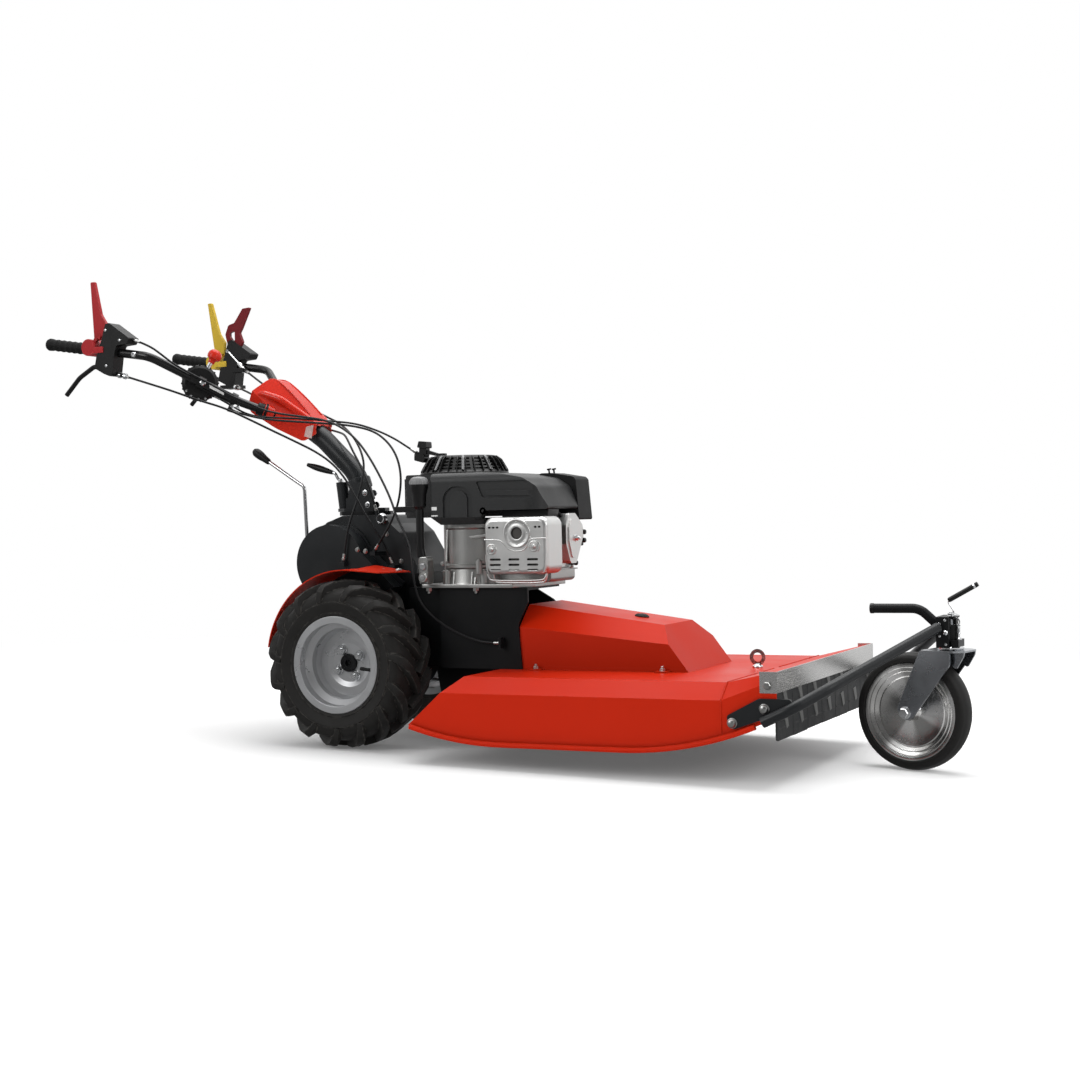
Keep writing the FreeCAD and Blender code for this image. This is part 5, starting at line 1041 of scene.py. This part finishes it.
turned(bm, [(0, 0), (5.4, 0), (5.0, 2), (3.2, 3.8), (0, 4.3)], (1390, HEAD_SIDE, 273), RIGHT, 20)
for x, z in ((1377, 292), (1377, 266), (1389, 300), (1390, 248)):
    turned(bm, [(0, 0), (3.4, 0), (3, 1.5), (0, 2.4)], (x, HEAD_SIDE, z), RIGHT, 14)
made(bm, "lock_spring", "chassis", bright_zinc)

# ---------------------------------------------------------------- castor fork and wheel
# Pressed fork in bluish zinc with a ball race under the head, and a spun steel disc in a
# solid rubber tyre on a bolt through the fork's legs.
TRAIL = 89
LEG_OUT = 45
SHADED_SECTOR_STEEL = (0.48, 0.475, 0.465, 1)
HIGHLIGHT_SECTOR_STEEL = (0.98, 0.975, 0.965, 1)
blue_zinc = surface("blue_zinc", (0.36, 0.375, 0.40), 0.26, metal=1.0, tone=0.12, fine=800, broad=9,
                    relief=0.1, worn=(0.75, 0.77, 0.8), wear=0.9, width=0.0035, rough_change=0.05)
castor_rubber = surface("castor_rubber", (0.011, 0.0105, 0.010), 0.55, tone=0.2, fine=700, broad=18,
                        relief=0.2, worn=(0.05, 0.047, 0.043), wear=0.4, width=0.004, mirror=0.25)
finish(blue_zinc, "castor_fork")
finish(castor_rubber, "castor_tyre")
axle_way = Vector((-sin(CASTOR_TURN), cos(CASTOR_TURN), 0))
axle_at = Vector((PIVOT_X - TRAIL * cos(CASTOR_TURN), -TRAIL * sin(CASTOR_TURN), CASTOR_AXLE_Z))

# Spun: fine rings round the axle, and broad bright and dark sectors: painted highlight and painted shade
# that stand in for spun steel's streaked reflections.
spun_steel = surface("spun_steel", (0.42, 0.415, 0.405), 0.24, metal=1.0, tone=0.1, fine=900, broad=20,
                     relief=0.05)
tree = spun_steel.node_tree
to_axle = node(tree, "Mapping", vector_type="TEXTURE", Vector=node(tree, "TexCoord").outputs["Object"],
               Location=standing @ axle_at, Rotation=(0, 0, CASTOR_TURN))
apart = node(tree, "SeparateXYZ", to_axle.outputs["Vector"])
on_disc = node(tree, "CombineXYZ", X=apart.outputs["X"], Z=apart.outputs["Z"]).outputs[0]
way = node(tree, "VectorMath", on_disc, operation="NORMALIZE").outputs[0]
highlight_sectors = node(tree, "TexNoise", Vector=way, Scale=1.7, Detail=1.0, Roughness=0.4).outputs["Fac"]
painted_sheen = node(tree, "Mix", data_type="RGBA", Factor=soft_step(tree, highlight_sectors, (0.40, 0.62), (0.0, 1.0)),
             A=SHADED_SECTOR_STEEL, B=HIGHLIGHT_SECTOR_STEEL)
rings = node(tree, "TexNoise", noise_dimensions="1D", Scale=900.0, Detail=2.0, W=distance(tree, on_disc))
grooves = node(tree, "Bump", Strength=0.25, Distance=0.0003, Height=rings.outputs["Fac"])
feed(tree, tree.nodes["Principled BSDF"].inputs["Base Color"], painted_sheen.outputs["Result"])
feed(tree, tree.nodes["Principled BSDF"].inputs["Normal"], grooves.outputs["Normal"])
bm = bmesh.new()
face = [(8.2, 32.5), (18.5, 32.5), (19, 31), (19, 15), (22, 11.5), (40, 9.5), (58, 9.5), (70, 12),
        (76, 13.5), (78.5, 12.2), (81, 12.8), (86, 17), (88, 17.6), (89.5, 16.8), (92, 19), (95.5, 22),
        (97, 22.4), (98.5, 21.6), (101, 22.8), (104, 23.6), (107, 23.8), (107.9, 23)]
profile = face + [(r, -s) for r, s in reversed(face)]
turned(bm, profile + profile[:1], axle_at, axle_way, 96)
disc = made(bm, "spun_disc", "castor_wheel", spun_steel, 30)
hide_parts("castor_disc")
bm = bmesh.new()
for side in (-1, 1):
    bolt(bm, axle_at + axle_way * side * LEG_OUT, axle_way * side, 13)
turned(bm, [(18, 0), (27, 0), (28.5, 2.1), (28.5, 4.6), (26, 7), (18, 7)], (PIVOT_X, 0, 234.4), UP, 48)
made(bm, "castor_bolts", "castor_fork", bright_zinc)

# ---------------------------------------------------------------- mast and swing lock
# A curved graphite tube stands between two bolted cheeks on the turret, with a collar at its
# foot. A black spindle-shaped handle on a bright rod locks the swing.
CHEEK = 31
finish(satin_graphite, "mast", "mast_bracket")
bm = bmesh.new()
turned(bm, [(25.2, -16), (29, -15), (30, -12), (30, 8), (28.5, 11), (25.2, 12)], (-95, 0, 638),
       (-0.3, 0, 0.95), 40)
made(bm, "mast_collar", "handlebar", satin_graphite)
bm = bmesh.new()
for x, z in ((-61, 612), (-54, 582)):
    turned(bm, [(0, 0), (8, 0), (7.6, 2), (5.8, 2.4), (5.4, 6), (3.6, 7.6), (0, 8)],
           (x, -CHEEK, z), RIGHT, 24)
    bolt(bm, (x - 12, CHEEK, z), LEFT, 8)
bolt(bm, (-148, -4, 640), (-0.05, 0, 1), 8, thread=4)
rod_way = [(-149, 3, 640), (-160, 3, 650), (-163, 2, 655), (-166, 0, 664), (-172, 0, 667), (-182, 0, 669)]
wire(bm, rod_way, 4.2)
made(bm, "swing_rod", "handlebar", bright_zinc)
bm = bmesh.new()
turned(bm, [(0, -1), (4.5, -1), (5.5, 3), (7, 16), (8.2, 34), (8.4, 46), (7.6, 60), (5.8, 72), (4.6, 80),
            (0, 82)], (-174, 0, 667), (-60, 0, 18), 28)
rod(bm, (-148, 0, 632), (-148.4, 0, 641.5), 14.6, steps=32)
swing_handle = made(bm, "swing_handle", "handlebar", black_plastic)
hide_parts("swing_lock")

# ---------------------------------------------------------------- handlebar tubes and grips
# Two glossy black tubes clamped under the console run out to moulded rubber grips with
# finger ridges, with a bright pin through each tube by its clamp.
gloss_black = surface("gloss_black", (0.006, 0.006, 0.0065), 0.22, tone=0.15, fine=1500, relief=0.04,
                      worn=(0.05, 0.05, 0.05), wear=0.3, mirror=0.45)
grip_rubber = surface("grip_rubber", (0.007, 0.007, 0.007), 0.6, tone=0.2, fine=900, relief=0.5,
                      depth=0.0004, worn=(0.03, 0.03, 0.03), wear=0.5, width=0.003, mirror=0.2)
finish(gloss_black, "handlebar_right", "handlebar_left")
finish(grip_rubber, "grips")
bm = bmesh.new()
for side in (-1, 1):
    at = Vector((-585, side * 270, 974.5))
    turned(bm, [(0, 0.5), (2.6, 0.5), (2.8, 1.8), (4.4, 2.6), (6.4, 2.4), (6.8, -1), (0, -1)], at,
           (0, side, 0), 24)
made(bm, "tube_pins", "handlebar", bright_zinc)

# ---------------------------------------------------------------- console cover
# Glossy red moulding over the tubes' clamp. Rubber sleeves close the tubes' mouths, and a
# screw holds it from below. A blank pale plate marks the label's place.
UNDER_COVER = (-0.42, 0, -0.9)
red_plastic = surface("red_plastic", (0.62, 0.024, 0.010), 0.20, tone=0.05, fine=900, broad=8, relief=0.03,
                      worn=(0.85, 0.25, 0.18), wear=0.5, width=0.003, rough_change=0.04, mirror=0.3)
pale_label = surface("pale_label", (0.66, 0.45, 0.42), 0.4, tone=0.03, relief=0.02)
finish(red_plastic, "console_cover")
bm = bmesh.new()
for side in (-1, 1):
    mouth = Vector((-380, side * 108, 853))
    inward = (Vector((-296, side * 40, 812.5)) - mouth).normalized()
    turned(bm, [(11.2, 46), (15, 46), (16, 48), (16.5, 62), (19.5, 66), (19.5, 72), (15, 74), (11.2, 74)],
           mouth, inward, 32)
made(bm, "tube_sleeves", "handlebar", black_rubber)
bm = bmesh.new()
bolt(bm, (-297, 0, 786), UNDER_COVER, 8, thread=4)
bolt(bm, (-262, -20, 772), UNDER_COVER, 6)
made(bm, "cover_screws", "handlebar", bright_zinc)
bm = bmesh.new()
for side in (-1, 1):
    wire(bm, [(-352, side * 17, 914), (-336, side * 19, 915), (-318, side * 22, 909),
              (-288, side * 23.5, 885), (-253, side * 26, 852), (-222, side * 28, 819)], 1.8)
made(bm, "cover_beads", "handlebar", red_plastic)
bm = bmesh.new()
panel(bm, [(-228, -46.6, 761), (-209, -41.9, 755), (-203, -40.4, 789), (-222, -45.1, 785)],
      (-0.1, -0.5, 0), 0.1)
made(bm, "cover_label", "handlebar", pale_label)

# ---------------------------------------------------------------- clamps and levers
# Black plastic clamps carry tall coloured clutch levers above the tubes and the curved hand
# levers below. Bright adjusters hold the cables' ends.
LEVER_Y = 261
LEVER_PIVOT = (-720, 1000)
BOSS_HALF = 23


def lever_plastic(name, colour, worn, rough=0.36, tone=0.08, mirror=0.22):
    """The finish of a coloured lever, paler where hands rub its edges."""
    return surface(name, colour, rough, tone=tone, fine=700, relief=0.12, worn=worn, wear=0.5, width=0.003,
                   mirror=mirror)


lever_red = lever_plastic("lever_red", (0.38, 0.018, 0.022), (0.6, 0.12, 0.12))
lever_yellow = lever_plastic("lever_yellow", (0.60, 0.41, 0.035), (0.8, 0.6, 0.2), rough=0.38)
lever_dark = lever_plastic("lever_dark_red", (0.16, 0.008, 0.012), (0.35, 0.06, 0.07), tone=0.1, mirror=0.2)
finish(black_plastic, "lever_mounts", "brake_levers")
finish(lever_dark, "dead_man_lever")
red_blade = ((-722, 1168), (-707, 1168), (-689, 1084), (-668, 1052), (-672, 1022), (-714, 1016))
yellow_blade = ((-744, 1168), (-729, 1168), (-704, 1080), (-686, 1054), (-690, 1022), (-722, 1018))
for side, colour, look, blade, drawn_lever in (
    (-1, "red", lever_red, red_blade, "clutch_lever_right"),
    (1, "yellow", lever_yellow, yellow_blade, "clutch_lever_left"),
):
    bm = bmesh.new()
    y = side * LEVER_Y
    panel(bm, [(x, y - 5, z) for x, z in blade], (0, 10, 0), 3)
    turned(bm, [(0, -23.5), (19.5, -23.5), (21.5, -21.5), (21.5, 21.5), (19.5, 23.5), (0, 23.5)],
           (LEVER_PIVOT[0], y, LEVER_PIVOT[1]), LEFT, 40)
    slab(bm, (-712, y - BOSS_HALF, 984), (-672, y + BOSS_HALF, 1000), 1.5)
    for cut in range(3):
        at = Vector((-704 + 12 * cut, y + side * 9, 1020 + 5 * cut))
        rod(bm, at, at + Vector((0, side * 3, 0)), 5 - cut * 0.6, steps=20)
    lever = made(bm, "bossed_lever_" + colour, "handlebar", look)
    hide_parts(drawn_lever)
bm = bmesh.new()
for side in (-1, 1):
    for x, z in ((-664, 1040), (-620, 1012), (-664, 950)):
        turned(bm, [(0, 0), (4, 0), (3.6, 1.4), (0, 2)], (x, side * (LEVER_Y + 19.6), z), (0, side, 0), 16)
for start, end, thick in (
    ((-666, 240, 1027), (-620, 240, 981), 3),
    ((-627, 236, 990), (-603, 231, 966), 5.5),
    ((-624, 240, 987), (-617, 237, 980), 8),
    ((-611, 232, 974), (-604, 230, 967), 8),
    ((-648, -258, 928), (-618, -256, 922), 4.5),
    ((-644, -258, 927), (-637, -257, 926), 7.5),
    ((-628, -257, 924), (-621, -256, 922), 7.5),
    ((-617, 204, 922), (-600, 196, 916), 5),
    ((-614, 202, 921), (-607, 199, 919), 8),
):
    rod(bm, start, end, thick)
turned(bm, [(0, -3), (5, -3), (5, 3), (0, 3)], (-666, 240, 1027), LEFT, 16)
made(bm, "adjusters", "handlebar", bright_zinc)

# ---------------------------------------------------------------- throttle
# Ribbed black quadrant on the right tube. Its bright tapered lever ends in a red mushroom
# knob, and a strap with a plain white strip runs along the tube to the clamp.
RIBS = 20
RIB_CIRCLE = 45.4
RIVET_RING = 41
finish(black_plastic, "throttle_quadrant")
corner = Vector((-546, -258, 968.4))
bend = Vector((-380, -108, 853))
on_tube = corner + (bend - corner) * 0.568
along = (bend - corner).normalized()
level = Vector((along.x, along.y, 0)).normalized()
inward = Vector((-level.y, level.x, 0))
centre = on_tube + inward * 27
lever = level * 39 + Vector((0, 0, 71))


def round_centre(reach, turn):
    """A place on the upright circle round the quadrant's centre."""
    return centre + level * reach * cos(turn) + Vector((0, 0, reach * sin(turn)))


def strip(bm, start, end, out, half, thick, soft):
    """A flat strip along the tube, on the side that faces out."""
    high = Vector((0, 0, half))
    start, end = start - inward * out, end - inward * out
    panel(bm, [start - high, end - high, end + high, start + high], -inward * thick, soft)


bm = bmesh.new()
knob = [(0, 0), (8.6, 0), (8.6, 7), (11, 10), (16.5, 13), (18.4, 19), (17.6, 27), (13, 33.5), (6, 36.6),
        (0, 37.2)]
turned(bm, knob, centre + lever * 0.725, lever, 36)
made(bm, "throttle_knob", "handlebar", red_plastic)
bm = bmesh.new()
turned(bm, [(0, 8), (7.4, 8), (5.4, 62), (0, 62)], centre, lever, 24)
turned(bm, [(0, 10), (8, 10), (7.5, 12.5), (5, 14.5), (0, 15)], on_tube + Vector((4, 0, -2)), -inward, 24)
for turn in (208, 232, 262, 286):
    at = round_centre(RIVET_RING, radians(turn))
    turned(bm, [(0, 8), (2.8, 8), (2.6, 9.8), (0, 10.2)], at, -inward, 14)
for at in ((-389, -128, 841), (-379, -118, 839)):
    turned(bm, [(0, 0), (5, 0), (4.6, 2.4), (0, 3.6)], at, -inward, 18)
made(bm, "throttle_arm", "handlebar", bright_zinc)
bm = bmesh.new()
for k in range(RIBS):
    at = round_centre(RIB_CIRCLE, 2 * pi * k / RIBS)
    rod(bm, at - inward * 5, at + inward * 6, 2.6, steps=8)
strip(bm, on_tube - along * 30, corner + (bend - corner) * 0.93, 12, 9, 2.4, 0.5)
made(bm, "throttle_ribs", "handlebar", black_plastic)
bm = bmesh.new()
strip(bm, on_tube + along * 22, on_tube + along * 62, 14.3, 5, 0.5, 0.1)
made(bm, "plain_strip", "handlebar", label_white)

# ---------------------------------------------------------------- gear lever
# Chromed rod bent twice, from the back of the gearbox to a black pear-shaped knob.
bm = bmesh.new()
gear_way = [(-161, 470), (-240, 473.3), (-252, 474), (-257, 480), (-257.4, 492), (-261.6, 618), (-262, 630),
            (-266, 637), (-276, 641.5), (-376, 705.5)]
wire(bm, [(x, 0, z) for x, z in gear_way], 5, 5)
gear_rod = made(bm, "bent_gear_rod", "chassis", chrome)
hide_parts("gear_lever")
bm = bmesh.new()
turned(bm, [(0, -4), (6.2, -4), (8, 0), (9, 12), (11.4, 28), (12, 38), (11, 47), (7, 53), (0, 55)],
       (-372, 0, 702), (-125, 0, 86), 32)
made(bm, "lever_knob", "chassis", black_plastic)
